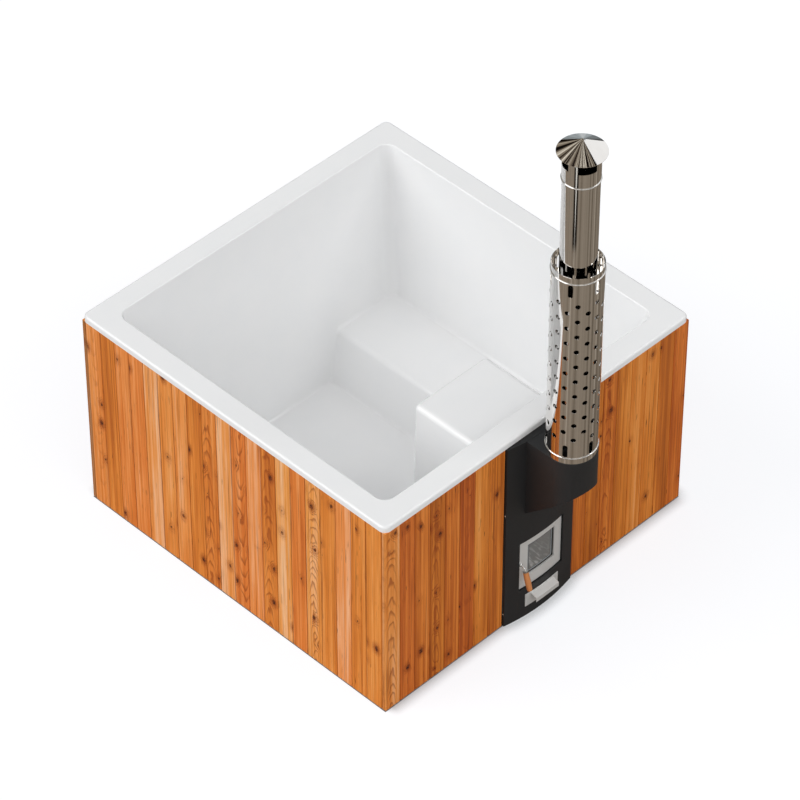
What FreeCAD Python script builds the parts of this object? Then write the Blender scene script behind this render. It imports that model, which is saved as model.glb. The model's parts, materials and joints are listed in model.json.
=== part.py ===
import FreeCAD, Part
import math
import os

# Square wood-burning hot tub, in millimetres: +Z up, origin on the ground under the middle of the tub.
# The stove's face looks along -Y and its chimney stands in front of that face.

V = FreeCAD.Vector

# Fits
fit_gap = 0.3            # face-to-face clearance between pieces that lie side by side
running_gap = 0.05       # radial clearance of a pin or shaft that turns
sleeve_gap = 0.2         # radial clearance of a pipe pushed into a socket or hole
over = 1.0               # how far a cutting tool reaches past the face that it opens

# Tub outline and moulded rim
tub_side = 1700.0
tub_height = 1010.0
rim_lip = 30.0
rim_width = 100.0
rim_corner_radius = 30.0
rim_edge_radius = 11.0
rim_inner_edge_radius = 6.0
shell_wall = 8.0

# Inside of the moulded shell
wall_lean_x = 0.125      # inward lean of the side walls, per unit of depth
wall_lean_y = 0.178      # inward lean of the front and back walls
well_corner_radius = 50.0
inner_corner_radius = 16.0   # where floor, benches, housing and walls meet
bench_level = 307.0
bench_foot_gap = 28.0    # clear floor between the foot of the stove's housing and a bench's foot
bench_foot_setback = 81.0
bench_nose_radius = 28.0
housing_half_width = 192.0
housing_left_extra = 20.0    # the left side stands further out at the top; both feet are the same
housing_flare = 36.0
housing_reach = 384.0
housing_drop = 104.0
housing_edge_radius = 24.0

# Timber cladding
board_thickness = 20.0
board_width = 85.0
board_seam = 1.2
board_chamfer = 2.0
tongue_thickness = 6.0
tongue_length = 7.0
ground_gap = 6.0

# Timber frame and base
rail_height = 45.0
rail_depth = 45.0
middle_rail_level = 480.0
bearer_height = 60.0
bearer_width = 70.0
bearer_count = 5
deck_thickness = 22.0
deck_board_width = 184.0
deck_board_gap = 8.0

# Bowed front panel of the stove
panel_width = 386.0
panel_bulge = 30.0       # how far the middle stands in front of the cladding
panel_sag = 22.0         # depth of the bow from the middle to the side edges
panel_sheet = 4.0
panel_ground_gap = 4.0
panel_rim_gap = 2.0
panel_side_gap = 2.5
panel_screw_low = 70.0
panel_screw_high = 620.0
panel_screw_radius = 2.0
panel_screw_head_radius = 3.0
panel_screw_head_height = 1.8
panel_screw_setback = 2.5
bracket_height = 24.0
bracket_leg = 29.0
bracket_sheet = 3.0

# Stove body behind the panel
plate_setback = 54.0
plate_thickness = 6.0
plate_half_width = 178.0
plate_head_gap = 18.0
stove_base_thickness = 4.0
jacket_half_width = 172.0
jacket_sheet = 4.0
jacket_top_gap = 36.0
jacket_back_gap = 22.0
water_space = 23.0
firebox_sheet = 5.0
grate_level = 160.0
grate_thickness = 12.0
grate_slot_width = 12.0
grate_slot_count = 8
grate_border = 22.0
ledge_width = 12.0
ledge_thickness = 5.0
baffle_drop = 70.0       # from the lower edge of the flue's hole to the baffle
baffle_thickness = 10.0
baffle_back_gap = 95.0
hearth_gap = 4.0

# Water pipes between the jacket and the well
water_pipe_radius = 27.0
water_pipe_wall = 3.0
water_pipe_rise = 114.0  # from the stove's floor to the lower pipe
water_pipe_drop = 102.0  # from the jacket's top to the upper pipe
pipe_flange_radius = 42.0
pipe_flange_thickness = 6.0
grille_depth = 12.0
grille_face = 3.0
grille_slot_width = 5.0
grille_slot_count = 5

# Stove door
door_width = 240.0
door_height = 258.0
door_bottom = 165.0
door_recess = 8.0
door_thickness = 16.0
door_gap = 4.0
window_width = 152.0
window_height = 166.0
window_bottom_rail = 59.0
window_lip = 6.0
glass_overlap = 7.0
glass_thickness = 4.0
gasket_thickness = 2.0
retainer_width = 16.0
retainer_sheet = 2.0
retainer_screw_radius = 2.0
retainer_screw_head_radius = 3.6
retainer_screw_head_height = 1.8
retainer_screw_depth = 7.0
seal_width = 8.0
seal_offset = 26.0       # from the window's edge to the middle of the seal
seal_groove = 4.0
surround_sheet = 3.0
surround_depth = 30.0
throat_wall = 4.0
hinge_inset = 8.0
hinge_pin_radius = 4.0
hinge_pin_bite = 12.0
hinge_collar_radius = 7.0

# Door handle
handle_rod_radius = 3.0
handle_collar_radius = 7.0
handle_collar_thickness = 4.0
handle_inset = 8.0
handle_rise = 137.0      # height of the spindle above the door's lower edge
handle_reach = 9.0
handle_bend_radius = 18.0
handle_lean = 17.0       # degrees by which the grip leans outward from plumb
handle_neck = 3.0
grip_radius = 12.5
grip_length = 88.0
grip_swell = 2.0
grip_end_radius = 3.0
ferrule_length = 6.0
ferrule_radius = 10.5
cam_thickness = 4.0
cam_hub_radius = 5.5
cam_gap = 3.0
cam_end_gap = 1.0

# Ash drawer
drawer_front_width = 187.0
drawer_front_height = 68.0
drawer_front_bottom = 60.0
drawer_front_sheet = 3.0
drawer_front_gap = 1.0
tray_half_width = 82.0
tray_height = 34.0
tray_sheet = 2.0
tray_back_gap = 20.0
drawer_side_gap = 4.0
drawer_head_gap = 4.0
guide_sheet = 2.0
pull_width = 130.0
pull_reach = 29.0
pull_drop = 8.0
pull_lip = 22.0
pull_sheet = 2.0
pull_level = 120.0

# Flue box on the panel
flue_offset = 132.0      # from the panel's middle to the chimney's axis
flue_box_radius = 104.5
flue_box_sheet = 3.0
flue_box_step = 1.0
flue_box_depth_at_panel = 383.0
flue_box_depth_at_nose = 163.0
flue_hole_half_width = 90.0
flue_hole_height = 140.0
flue_hole_drop = 35.0    # from the firebox's top to the hole's upper edge

# Chimney
flue_radius = 72.0
flue_sheet = 1.5
flue_length = 1423.0
socket_height = 53.0
socket_wall = 2.8
socket_foot_radius = 85.0
socket_foot_thickness = 3.0
guard_radius = 102.5
guard_sheet = 1.3
guard_height = 951.0
guard_bead = 3.0
guard_low_bead = 30.0
guard_high_bead = 30.0
guard_hole_radius = 10.5
guard_hole_columns = 16
guard_hole_rows = 10
guard_hole_pitch = 76.0
guard_hole_start = 128.0
guard_slot_width = 20.0
guard_slot_length = 62.0
guard_slot_count = 6
guard_slot_clear = 5.0
guard_slot_turn = 208.0
guard_hole_turn = 225.0
spacer_thickness = 3.0
spacer_drop = 112.0
spacer_slot_count = 12
spacer_slot_width = 12.0
spacer_land = 7.0        # metal left on both sides of the spacer's slots
cap_sheet = 1.5
cap_overlap = 74.0
cap_bead_rise = 12.0
cap_window_rise = 5.0
cap_window_angle = 58.0
cap_window_count = 4
cap_window_turn = 242.0
cone_radius = 96.6
cone_height = 55.0
cone_sheet = 1.2
cone_rise = 62.0         # from the flue's mouth to the cone's edge

# Drain
drain_x = -170.0
drain_y = 450.0
drain_level = 32.0
drain_pipe_radius = 20.0
drain_pipe_wall = 2.7
drain_bend_radius = 30.0
strainer_radius = 38.0
strainer_thickness = 3.0
strainer_hole_radius = 4.0
strainer_hole_count = 6
strainer_hole_ring = 10.0
strainer_neck_depth = 14.0
strainer_neck_wall = 2.5
backnut_radius = 30.0
backnut_height = 13.0
valve_gap = 8.0
valve_radius = 26.0
valve_length = 60.0
valve_ball_radius = 22.0
valve_ball_gap = 0.3
valve_bore_radius = 15.0
valve_boss_radius = 10.0
valve_boss_height = 5.0
valve_stem_radius = 5.0
valve_stem_bite = 6.0
outlet_length = 27.0
lever_length = 95.0
lever_width = 18.0
lever_thickness = 4.0
lever_gap = 3.0

# Levels and faces that follow from the sizes above
tub_half = tub_side / 2
frame_half = tub_half - board_thickness
well_half = tub_half - rim_width
rim_underside = tub_height - rim_lip
flange_underside = tub_height - shell_wall
deck_top = bearer_height + deck_thickness
floor_level = deck_top + shell_wall
post_top = flange_underside - rail_height
housing_top = tub_height - housing_drop
housing_back = -well_half + housing_reach
panel_half = panel_width / 2
panel_front = -tub_half - panel_bulge
panel_top = rim_underside - panel_rim_gap
panel_screw_levels = (panel_screw_low, panel_screw_high)
bow_radius = (panel_half ** 2 + panel_sag ** 2) / (2 * panel_sag)
bow_centre = panel_front + bow_radius
plate_front = panel_front + plate_setback
plate_back = plate_front + plate_thickness
stove_floor = deck_top + stove_base_thickness
jacket_back = housing_back - shell_wall - jacket_back_gap
jacket_top = housing_top - shell_wall - jacket_top_gap
firebox_half = jacket_half_width - jacket_sheet - water_space
firebox_back = jacket_back - jacket_sheet - water_space
firebox_top = jacket_top - jacket_sheet - water_space
water_pipe_levels = (stove_floor + water_pipe_rise, jacket_top - water_pipe_drop)
flue_hole_high = firebox_top - flue_hole_drop
flue_hole_low = flue_hole_high - flue_hole_height
baffle_level = flue_hole_low - baffle_drop
flue_y = panel_front - flue_offset
flue_box_top = panel_top - flue_box_step
door_half = door_width / 2
door_top = door_bottom + door_height
door_back = door_recess + door_thickness
window_half = window_width / 2
window_low = door_bottom + window_bottom_rail
window_high = window_low + window_height
seal_back = door_back + seal_width - seal_groove
drawer_half = tray_half_width + drawer_side_gap
tray_floor = stove_floor + fit_gap
drawer_head = tray_floor + tray_height + drawer_head_gap
bench_nose = housing_half_width + housing_flare + bench_foot_gap + bench_foot_setback
far = 3 * tub_side       # longer than any cut has to reach
smooth = math.radians(3)     # faces that meet at less than this run on without an edge


# Simple solids

def box(x0, x1, y0, y1, z0, z1):
    return Part.makeBox(x1 - x0, y1 - y0, z1 - z0, V(x0, y0, z0))


def rod(radius, start, end):
    axis = end.sub(start)
    return Part.makeCylinder(radius, axis.Length, start, axis)


def upright(radius, x, y, z0, z1):
    return Part.makeCylinder(radius, z1 - z0, V(x, y, z0))


def ring(outer, inner, x, y, z0, z1):
    return upright(outer, x, y, z0, z1).cut(upright(inner, x, y, z0 - over, z1 + over))


def prism(points, along):
    return Part.Face(Part.makePolygon(points + points[:1])).extrude(along)


def fuse(shapes):
    return shapes[0].fuse(shapes[1:]).removeSplitter()


def save(name, solids):
    shape = solids if isinstance(solids, Part.Shape) else Part.makeCompound(solids)
    os.makedirs("parts", exist_ok=True)
    shape.exportStep("parts/" + name + ".step")


def edges_where(shape, test):
    return [edge for edge in shape.Edges if test(edge.BoundBox)]


# Pieces that follow the bow of the stove's face: depths are counted back from the panel's outer face

def bow_drum(depth, z0, z1):
    return upright(bow_radius - depth, 0, bow_centre, z0, z1)


def bow_y(x, depth):
    return bow_centre - math.sqrt((bow_radius - depth) ** 2 - x ** 2)


def bow_slab(front, back, x0, x1, z0, z1):
    block = box(x0, x1, panel_front - far, bow_centre, z0, z1)
    return bow_drum(front, z0, z1).cut(bow_drum(back, z0 - over, z1 + over)).common(block)


def bow_frame(front, back, outer, inner):
    window = bow_slab(front - over, back + over, *inner)
    return bow_slab(front, back, *outer).cut(window)


def margin(rect, by):
    x0, x1, z0, z1 = rect
    return (x0 - by, x1 + by, z0 - by, z1 + by)


door_rect = (-door_half, door_half, door_bottom, door_top)
window_rect = (-window_half, window_half, window_low, window_high)
glass_rect = margin(window_rect, glass_overlap)
seal_rect = margin(window_rect, seal_offset)
throat_rect = margin(seal_rect, -throat_wall / 2)
doorway_rect = margin(door_rect, door_gap)
drawer_rect = (-drawer_half, drawer_half, stove_floor, drawer_head)
flue_rect = (-flue_hole_half_width, flue_hole_half_width, flue_hole_low, flue_hole_high)


def sleeve(rect, wall, front_depth):
    """Square tube from the stove's front plate forward to a depth behind the panel's face."""
    x0, x1, z0, z1 = margin(rect, wall)
    outer = box(x0, x1, panel_front - far, plate_front, z0, z1)
    x0, x1, z0, z1 = rect
    inner = box(x0, x1, panel_front - far, plate_front + over, z0, z1)
    return outer.cut(inner).common(bow_drum(front_depth, 0, tub_height))


# Moulded shell

def frustum(z0, half_x0, half_y0, z1, half_x1, half_y1):
    """Block with four leaning sides, between two levels."""
    across = [V(-half_x0, -far, z0), V(half_x0, -far, z0), V(half_x1, -far, z1), V(-half_x1, -far, z1)]
    along = [V(-far, -half_y0, z0), V(-far, half_y0, z0), V(-far, half_y1, z1), V(-far, -half_y1, z1)]
    return prism(across, V(0, 2 * far, 0)).common(prism(along, V(2 * far, 0, 0))).Solids[0]


def basin(grow, top):
    sizes = []
    for level in (floor_level - grow, top):
        sizes.append(level)
        sizes.append(well_half + grow - wall_lean_x * (tub_height - level))
        sizes.append(well_half + grow - wall_lean_y * (tub_height - level))
    return frustum(*sizes)


def bench(side, grow):
    lean = bench_foot_setback / (bench_level - floor_level)
    nose = bench_nose + grow
    top = bench_level - grow
    drop = 2 * bench_level
    outline = [(nose, top), (tub_half, top), (tub_half, top - drop), (nose - lean * drop, top - drop)]
    return prism([V(side * x, -tub_half, z) for x, z in outline], V(0, tub_side, 0))


def housing(grow):
    top = housing_top - grow
    slope = housing_flare / (housing_top - floor_level)
    half_top = housing_half_width - grow
    half_low = half_top + slope * housing_top
    left_top = half_top + housing_left_extra
    left_slope = (housing_flare - housing_left_extra) / (housing_top - floor_level)
    left_low = left_top + left_slope * housing_top
    low = top - housing_top
    outline = [(-left_low, low), (half_low, low), (half_top, top), (-left_top, top)]
    return prism([V(x, -tub_half, z) for x, z in outline], V(0, housing_back - grow + tub_half, 0))


def sharp_edges(shape, below):
    """Edges under a level where two faces meet at an angle."""
    found = []
    for edge in edges_where(shape, lambda b: b.ZMax < below):
        point = edge.valueAt((edge.FirstParameter + edge.LastParameter) / 2)
        faces = shape.ancestorsOfType(edge, Part.Face)
        normals = [face.normalAt(*face.Surface.parameter(point)) for face in faces]
        if len(normals) == 2 and normals[0].getAngle(normals[1]) > smooth:
            found.append(edge)
    return found


def well(grow, top):
    """Space inside the shell, its skin moved out by grow, with the moulded edges rounded kind by kind."""
    space = basin(grow, top).cut([bench(-1, grow), bench(1, grow), housing(grow)]).removeSplitter()
    corners = edges_where(space, lambda b: b.ZMax > top - over and b.ZLength > over)
    space = space.makeFillet(well_corner_radius + grow, corners)
    nose = bench_nose + grow
    noses = edges_where(space, lambda b: b.YLength > tub_half and abs(abs(b.XMin) - nose) < over)
    space = space.makeFillet(bench_nose_radius - grow, noses)
    head = housing_top - grow
    back = housing_back - grow
    block = edges_where(space, lambda b: abs(b.ZMin - head) + b.ZLength < over and b.YMax > back - over)
    block += edges_where(space, lambda b: b.ZLength > over and abs(b.YMin - back) + b.YLength < over)
    space = space.makeFillet(housing_edge_radius - grow, block)
    return space.makeFillet(inner_corner_radius + grow, sharp_edges(space, top - over))


def rim():
    plate = box(-tub_half, tub_half, -tub_half, tub_half, rim_underside, tub_height)
    plate = plate.makeFillet(rim_corner_radius, edges_where(plate, lambda b: b.ZLength > over))
    plate = plate.makeFillet(rim_edge_radius, edges_where(plate, lambda b: b.ZMin > tub_height - over))
    inside = tub_half - shell_wall
    hollow = box(-inside, inside, -inside, inside, rim_underside - over, flange_underside)
    radius = rim_corner_radius - shell_wall
    hollow = hollow.makeFillet(radius, edges_where(hollow, lambda b: b.ZLength > over))
    return plate.cut(hollow)


def water_pipe_line(level, radius, y0, y1):
    return rod(radius, V(0, y0, level), V(0, y1, level))


def tub_shell():
    solid = rim().fuse(well(shell_wall, tub_height)).cut(well(0, tub_height + shell_wall))
    hole = water_pipe_radius + sleeve_gap
    wall_back = housing_back - shell_wall - over
    cuts = [water_pipe_line(z, hole, wall_back, housing_back + over) for z in water_pipe_levels]
    drain_hole = drain_pipe_radius + sleeve_gap
    cuts.append(upright(drain_hole, drain_x, drain_y, 0, floor_level + over))
    solid = solid.cut(cuts).removeSplitter()
    reach = well_half + over
    edge = edges_where(solid, lambda b: b.ZMin > tub_height - fit_gap and b.XMax < reach and b.XMin > -reach
                       and b.YMax < reach and b.YMin > -reach)
    return solid.makeFillet(rim_inner_edge_radius, edge)


# Timber cladding: tongued boards side by side, with an eased edge at every seam

def board_run(start, along, inward, length):
    count = max(1, round(length / board_width))
    pitch = length / count
    width = pitch - board_seam
    low = (board_thickness - tongue_thickness) / 2
    high = low + tongue_thickness
    groove = tongue_length + fit_gap
    boards = []
    for i in range(count):
        u = i * pitch + board_seam / 2
        c = board_chamfer
        outline = [(u + c, 0), (u + width - c, 0), (u + width, c)]
        if i < count - 1:
            end = u + width + tongue_length
            outline += [(u + width, low), (end, low), (end, high), (u + width, high)]
        outline += [(u + width, board_thickness), (u, board_thickness)]
        if i > 0:
            end = u + groove - board_seam
            outline += [(u, high + fit_gap), (end, high + fit_gap), (end, low - fit_gap), (u, low - fit_gap)]
        outline.append((u, c))
        points = [start + along * a + inward * b for a, b in outline]
        boards.append(prism(points, V(0, 0, rim_underside - ground_gap)))
    return boards


def cladding():
    z = ground_gap
    side_start = frame_half - fit_gap
    front_run = tub_half - panel_half - panel_side_gap
    side_run = 2 * side_start
    save("cladding_front_left", board_run(V(-tub_half, -tub_half, z), V(1, 0, 0), V(0, 1, 0), front_run))
    save("cladding_front_right", board_run(V(tub_half, -tub_half, z), V(-1, 0, 0), V(0, 1, 0), front_run))
    save("cladding_left", board_run(V(-tub_half, -side_start, z), V(0, 1, 0), V(1, 0, 0), side_run))
    save("cladding_right", board_run(V(tub_half, -side_start, z), V(0, 1, 0), V(-1, 0, 0), side_run))
    back = board_run(V(-tub_half, tub_half, z), V(1, 0, 0), V(0, -1, 0), tub_side)
    hole = rod(drain_pipe_radius + fit_gap, V(drain_x, frame_half - over, drain_level),
               V(drain_x, tub_half + over, drain_level))
    save("cladding_back", [board.cut(hole) for board in back])


# Timber frame and base

def rail_row(z):
    """Rails between the posts, on the four sides, leaving the stove's bay open."""
    outer = frame_half - fit_gap
    inner = outer - rail_depth
    end = inner - fit_gap
    middle = rail_depth / 2 + fit_gap
    bay = panel_half + panel_side_gap + rail_depth + 2 * fit_gap
    top = z + rail_height
    rails = []
    for side in (-1, 1):
        y0, y1 = sorted((side * middle, side * end))
        rails.append(box(-outer, -inner, y0, y1, z, top))
        rails.append(box(inner, outer, y0, y1, z, top))
        rails.append(box(y0, y1, inner, outer, z, top))
        x0, x1 = sorted((side * bay, side * end))
        rails.append(box(x0, x1, -outer, -inner, z, top))
    return rails


def frame():
    outer = frame_half - fit_gap
    inner = outer - rail_depth
    top = flange_underside
    save("top_rails", [box(-outer, outer, -outer, -inner, post_top, top),
                       box(-outer, outer, inner, outer, post_top, top),
                       box(-outer, -inner, -inner, inner, post_top, top),
                       box(inner, outer, -inner, inner, post_top, top)])
    save("middle_rails", rail_row(middle_rail_level))
    save("bottom_rails", rail_row(deck_top))
    half = rail_depth / 2
    bay = panel_half + panel_side_gap + fit_gap
    spots = [(x, y) for x in (-outer, inner) for y in (-outer, inner)]
    spots += [(-bay - rail_depth, -outer), (bay, -outer)]
    spots += [(-outer, -half), (inner, -half), (-half, inner)]
    posts = [box(x, x + rail_depth, y, y + rail_depth, deck_top, post_top) for x, y in spots]
    save("frame_posts", posts)


def base():
    reach = frame_half - fit_gap
    step = (2 * reach - bearer_width) / (bearer_count - 1)
    bearers = []
    for i in range(bearer_count):
        x = -reach + i * step
        bearers.append(box(x, x + bearer_width, -reach, reach, 0, bearer_height))
    save("base_bearers", bearers)
    count = max(1, round(2 * reach / deck_board_width))
    pitch = (2 * reach + deck_board_gap) / count
    hole = upright(backnut_radius + fit_gap, drain_x, drain_y, 0, deck_top + over)
    boards = []
    for i in range(count):
        y = -reach + i * pitch
        board = box(-reach, reach, y, y + pitch - deck_board_gap, bearer_height, deck_top)
        boards.append(board.cut(hole))
    save("base_deck_boards", boards)


# Drain under the floor, with a lever valve at the back

def drain():
    flange_low = floor_level
    bore = drain_pipe_radius - drain_pipe_wall
    strainer = upright(strainer_radius, drain_x, drain_y, flange_low, flange_low + strainer_thickness)
    neck_out = bore - sleeve_gap
    neck = ring(neck_out, neck_out - strainer_neck_wall, drain_x, drain_y,
                flange_low - strainer_neck_depth, flange_low)
    strainer = fuse([strainer, neck])
    spots = [(drain_x, drain_y)]
    for i in range(strainer_hole_count):
        turn = 2 * math.pi * i / strainer_hole_count
        aside = strainer_hole_ring * math.cos(turn)
        spots.append((drain_x + aside, drain_y + strainer_hole_ring * math.sin(turn)))
    low = flange_low - over
    high = flange_low + strainer_thickness + over
    save("drain_strainer", strainer.cut([upright(strainer_hole_radius, x, y, low, high) for x, y in spots]))

    valve_start = tub_half + valve_gap
    top = V(drain_x, drain_y, flange_low - fit_gap)
    bend_top = V(drain_x, drain_y, drain_level + drain_bend_radius)
    bend_end = V(drain_x, drain_y + drain_bend_radius, drain_level)
    middle = drain_bend_radius * (1 - math.sqrt(0.5))
    bend_mid = V(drain_x, drain_y + middle, drain_level + middle)
    end = V(drain_x, valve_start, drain_level)
    path = Part.Wire([Part.LineSegment(top, bend_top).toShape(),
                      Part.Arc(bend_top, bend_mid, bend_end).toShape(),
                      Part.LineSegment(bend_end, end).toShape()])
    tubes = []
    for radius in (drain_pipe_radius, bore):
        loop = Part.Wire([Part.makeCircle(radius, top, V(0, 0, -1))])
        tubes.append(path.makePipeShell([loop], True, False))
    save("drain_pipe", tubes[0].cut(tubes[1]))
    save("drain_backnut", ring(backnut_radius, drain_pipe_radius + sleeve_gap, drain_x, drain_y,
                               floor_level - shell_wall - backnut_height, floor_level - shell_wall))
    drain_valve(valve_start, bore)


def drain_valve(start, bore):
    centre = V(drain_x, start + valve_length / 2, drain_level)
    end = start + valve_length
    outlet_end = end + outlet_length
    boss_top = drain_level + valve_radius + valve_boss_height

    def along_y(radius, y0, y1):
        return rod(radius, V(drain_x, y0, drain_level), V(drain_x, y1, drain_level))

    body = fuse([along_y(valve_radius, start, end), along_y(drain_pipe_radius, end, outlet_end),
                 upright(valve_boss_radius, centre.x, centre.y, drain_level, boss_top)])
    cavity = Part.makeSphere(valve_ball_radius + valve_ball_gap, centre)
    way = along_y(bore, start - over, outlet_end + over)
    stem_hole = upright(valve_stem_radius + running_gap, centre.x, centre.y, drain_level, boss_top + over)
    save("drain_valve_body", body.cut([cavity, way, stem_hole]))

    ball = Part.makeSphere(valve_ball_radius, centre)
    ball_way = rod(valve_bore_radius, centre - V(far, 0, 0), centre + V(far, 0, 0))
    socket_low = drain_level + valve_ball_radius - valve_stem_bite
    socket = upright(valve_stem_radius + running_gap, centre.x, centre.y, socket_low, boss_top)
    save("drain_valve_ball", ball.cut([ball_way, socket]))

    plate_low = boss_top + lever_gap
    plate_top = plate_low + lever_thickness
    half = lever_width / 2
    stem = upright(valve_stem_radius, centre.x, centre.y, socket_low + fit_gap, plate_top)
    eye = upright(half, centre.x, centre.y, plate_low, plate_top)
    arm_end = centre.x + lever_length - half
    arm = box(centre.x, arm_end, centre.y - half, centre.y + half, plate_low, plate_top)
    tip = upright(half, arm_end, centre.y, plate_low, plate_top)
    save("drain_valve_lever", fuse([stem, eye, arm, tip]))


# Stove body

def open_box(half, back, top, sheet):
    """Sheet-metal box, open at the front and underneath."""
    outer = box(-half, half, plate_back, back, stove_floor, top)
    inside = half - sheet
    inner = box(-inside, inside, plate_back - over, back - sheet, stove_floor - over, top - sheet)
    return outer.cut(inner)


def stove_body():
    foot = box(-jacket_half_width, jacket_half_width, plate_front, jacket_back, deck_top, stove_floor)
    save("stove_base_plate", foot)
    plate_top = housing_top - plate_head_gap
    plate = box(-plate_half_width, plate_half_width, plate_front, plate_back, stove_floor, plate_top)
    for x0, x1, z0, z1 in (throat_rect, drawer_rect, flue_rect):
        plate = plate.cut(box(x0, x1, plate_front - over, plate_back + over, z0, z1))
    save("stove_front_plate", plate)

    inside = firebox_half - firebox_sheet
    back_wall = firebox_back - firebox_sheet
    pieces = [open_box(firebox_half, firebox_back, firebox_top, firebox_sheet)]
    for level in (grate_level, baffle_level):
        for x0, x1 in ((-inside, -inside + ledge_width), (inside - ledge_width, inside)):
            pieces.append(box(x0, x1, plate_back, back_wall, level - ledge_thickness, level))
    save("firebox", fuse(pieces))

    jacket = open_box(jacket_half_width, jacket_back, jacket_top, jacket_sheet)
    hole = water_pipe_radius + sleeve_gap
    start = jacket_back - jacket_sheet - over
    holes = [water_pipe_line(z, hole, start, jacket_back + over) for z in water_pipe_levels]
    save("water_jacket", jacket.cut(holes))

    side = inside - hearth_gap
    front = plate_back + hearth_gap
    back = back_wall - hearth_gap
    grate_top = grate_level + grate_thickness
    grate = box(-side, side, front, back, grate_level, grate_top)
    slot_pitch = (2 * side - 2 * grate_border) / grate_slot_count
    half = grate_slot_width / 2
    slots = []
    for i in range(grate_slot_count):
        x = -side + grate_border + i * slot_pitch + slot_pitch / 2
        slots.append(box(x - half, x + half, front + grate_border, back - grate_border,
                         grate_level - over, grate_top + over))
    save("fire_grate", grate.cut(slots))
    save("smoke_baffle", box(-side, side, front, back_wall - baffle_back_gap,
                             baffle_level, baffle_level + baffle_thickness))


def water_pipes():
    shell_out = housing_back - shell_wall
    pipe_start = jacket_back - jacket_sheet
    pipe_end = housing_back + grille_depth - grille_face - fit_gap
    pipes = []
    grilles = []
    for z in water_pipe_levels:
        pipe = water_pipe_line(z, water_pipe_radius, pipe_start, pipe_end)
        flange = water_pipe_line(z, pipe_flange_radius, shell_out - pipe_flange_thickness, shell_out)
        bore = water_pipe_line(z, water_pipe_radius - water_pipe_wall, pipe_start - over, pipe_end + over)
        pipes.append(fuse([pipe, flange]).cut(bore))
        cover = water_pipe_line(z, pipe_flange_radius, housing_back, housing_back + grille_depth)
        cover = cover.makeFillet(grille_face, edges_where(cover, lambda b: b.YMin > housing_back + over))
        hollow = water_pipe_line(z, water_pipe_radius + sleeve_gap, housing_back - over,
                                 housing_back + grille_depth - grille_face)
        pitch = 2 * (water_pipe_radius - water_pipe_wall) / grille_slot_count
        slots = []
        for i in range(grille_slot_count):
            x = (i - (grille_slot_count - 1) / 2) * pitch
            reach = math.sqrt((water_pipe_radius - water_pipe_wall) ** 2 - x ** 2)
            slots.append(box(x - grille_slot_width / 2, x + grille_slot_width / 2, housing_back,
                             housing_back + grille_depth + over, z - reach, z + reach))
        grilles.append(cover.cut([hollow] + slots))
    save("water_pipes", pipes)
    save("water_pipe_grilles", grilles)


# Front panel

def front_panel():
    panel = bow_slab(0, panel_sheet, -panel_half, panel_half, panel_ground_gap, panel_top)
    returns = []
    edge = bow_y(panel_half, panel_sheet / 2)
    return_back = -frame_half - panel_rim_gap
    for x0, x1 in ((-panel_half, -panel_half + panel_sheet), (panel_half - panel_sheet, panel_half)):
        returns.append(box(x0, x1, edge, return_back, panel_ground_gap, panel_top))
    panel = fuse([panel] + returns)
    screw_y = -tub_half - panel_screw_setback
    for x0, x1, z0, z1 in (doorway_rect, drawer_rect, flue_rect):
        panel = panel.cut(box(x0, x1, panel_front - over, edge, z0, z1))
    hole = panel_screw_radius + running_gap
    cuts = [rod(hole, V(-far, screw_y, z), V(far, screw_y, z)) for z in panel_screw_levels]
    save("front_panel", panel.cut(cuts))

    inner = panel_half - panel_sheet
    cover = box(-inner, inner, panel_front - over, return_back, panel_top - panel_sheet, panel_top)
    save("panel_top_plate", cover.common(bow_drum(panel_sheet, 0, tub_height)))

    brackets = []
    screws = []
    half = bracket_height / 2
    for side in (-1, 1):
        for z in panel_screw_levels:
            face = inner - bracket_sheet
            leg_front = bow_y(inner, panel_sheet) + fit_gap
            seat = plate_front if z - half > stove_floor else -frame_half + fit_gap
            x0, x1 = sorted((side * face, side * inner))
            leg = box(x0, x1, leg_front, seat, z - half, z + half)
            x0, x1 = sorted((side * (inner - bracket_leg), side * inner))
            foot = box(x0, x1, seat - bracket_sheet, seat, z - half, z + half)
            brackets.append(fuse([leg, foot]).cut(cuts))
            shank = rod(panel_screw_radius, V(side * face, screw_y, z), V(side * panel_half, screw_y, z))
            head_start = V(side * panel_half, screw_y, z)
            head_end = V(side * (panel_half + panel_screw_head_height), screw_y, z)
            screws.append(fuse([shank, rod(panel_screw_head_radius, head_start, head_end)]))
    save("panel_brackets", brackets)
    save("panel_screws", screws)


# Door, hung on two pivot pins at its right edge

hinge_x = door_half - hinge_inset
hinge_y = bow_y(hinge_x, (door_recess + door_back) / 2)
handle_x = -door_half + handle_inset
handle_z = door_bottom + handle_rise


def spindle(radius, y0, y1):
    return rod(radius, V(handle_x, y0, handle_z), V(handle_x, y1, handle_z))


def retainer_screw_spots():
    x0, x1, z0, z1 = margin(glass_rect, (retainer_width - glass_overlap) / 2)
    middle = (z0 + z1) / 2
    return [(x, z) for x in (x0, x1) for z in (z0, middle, z1)]


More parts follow.
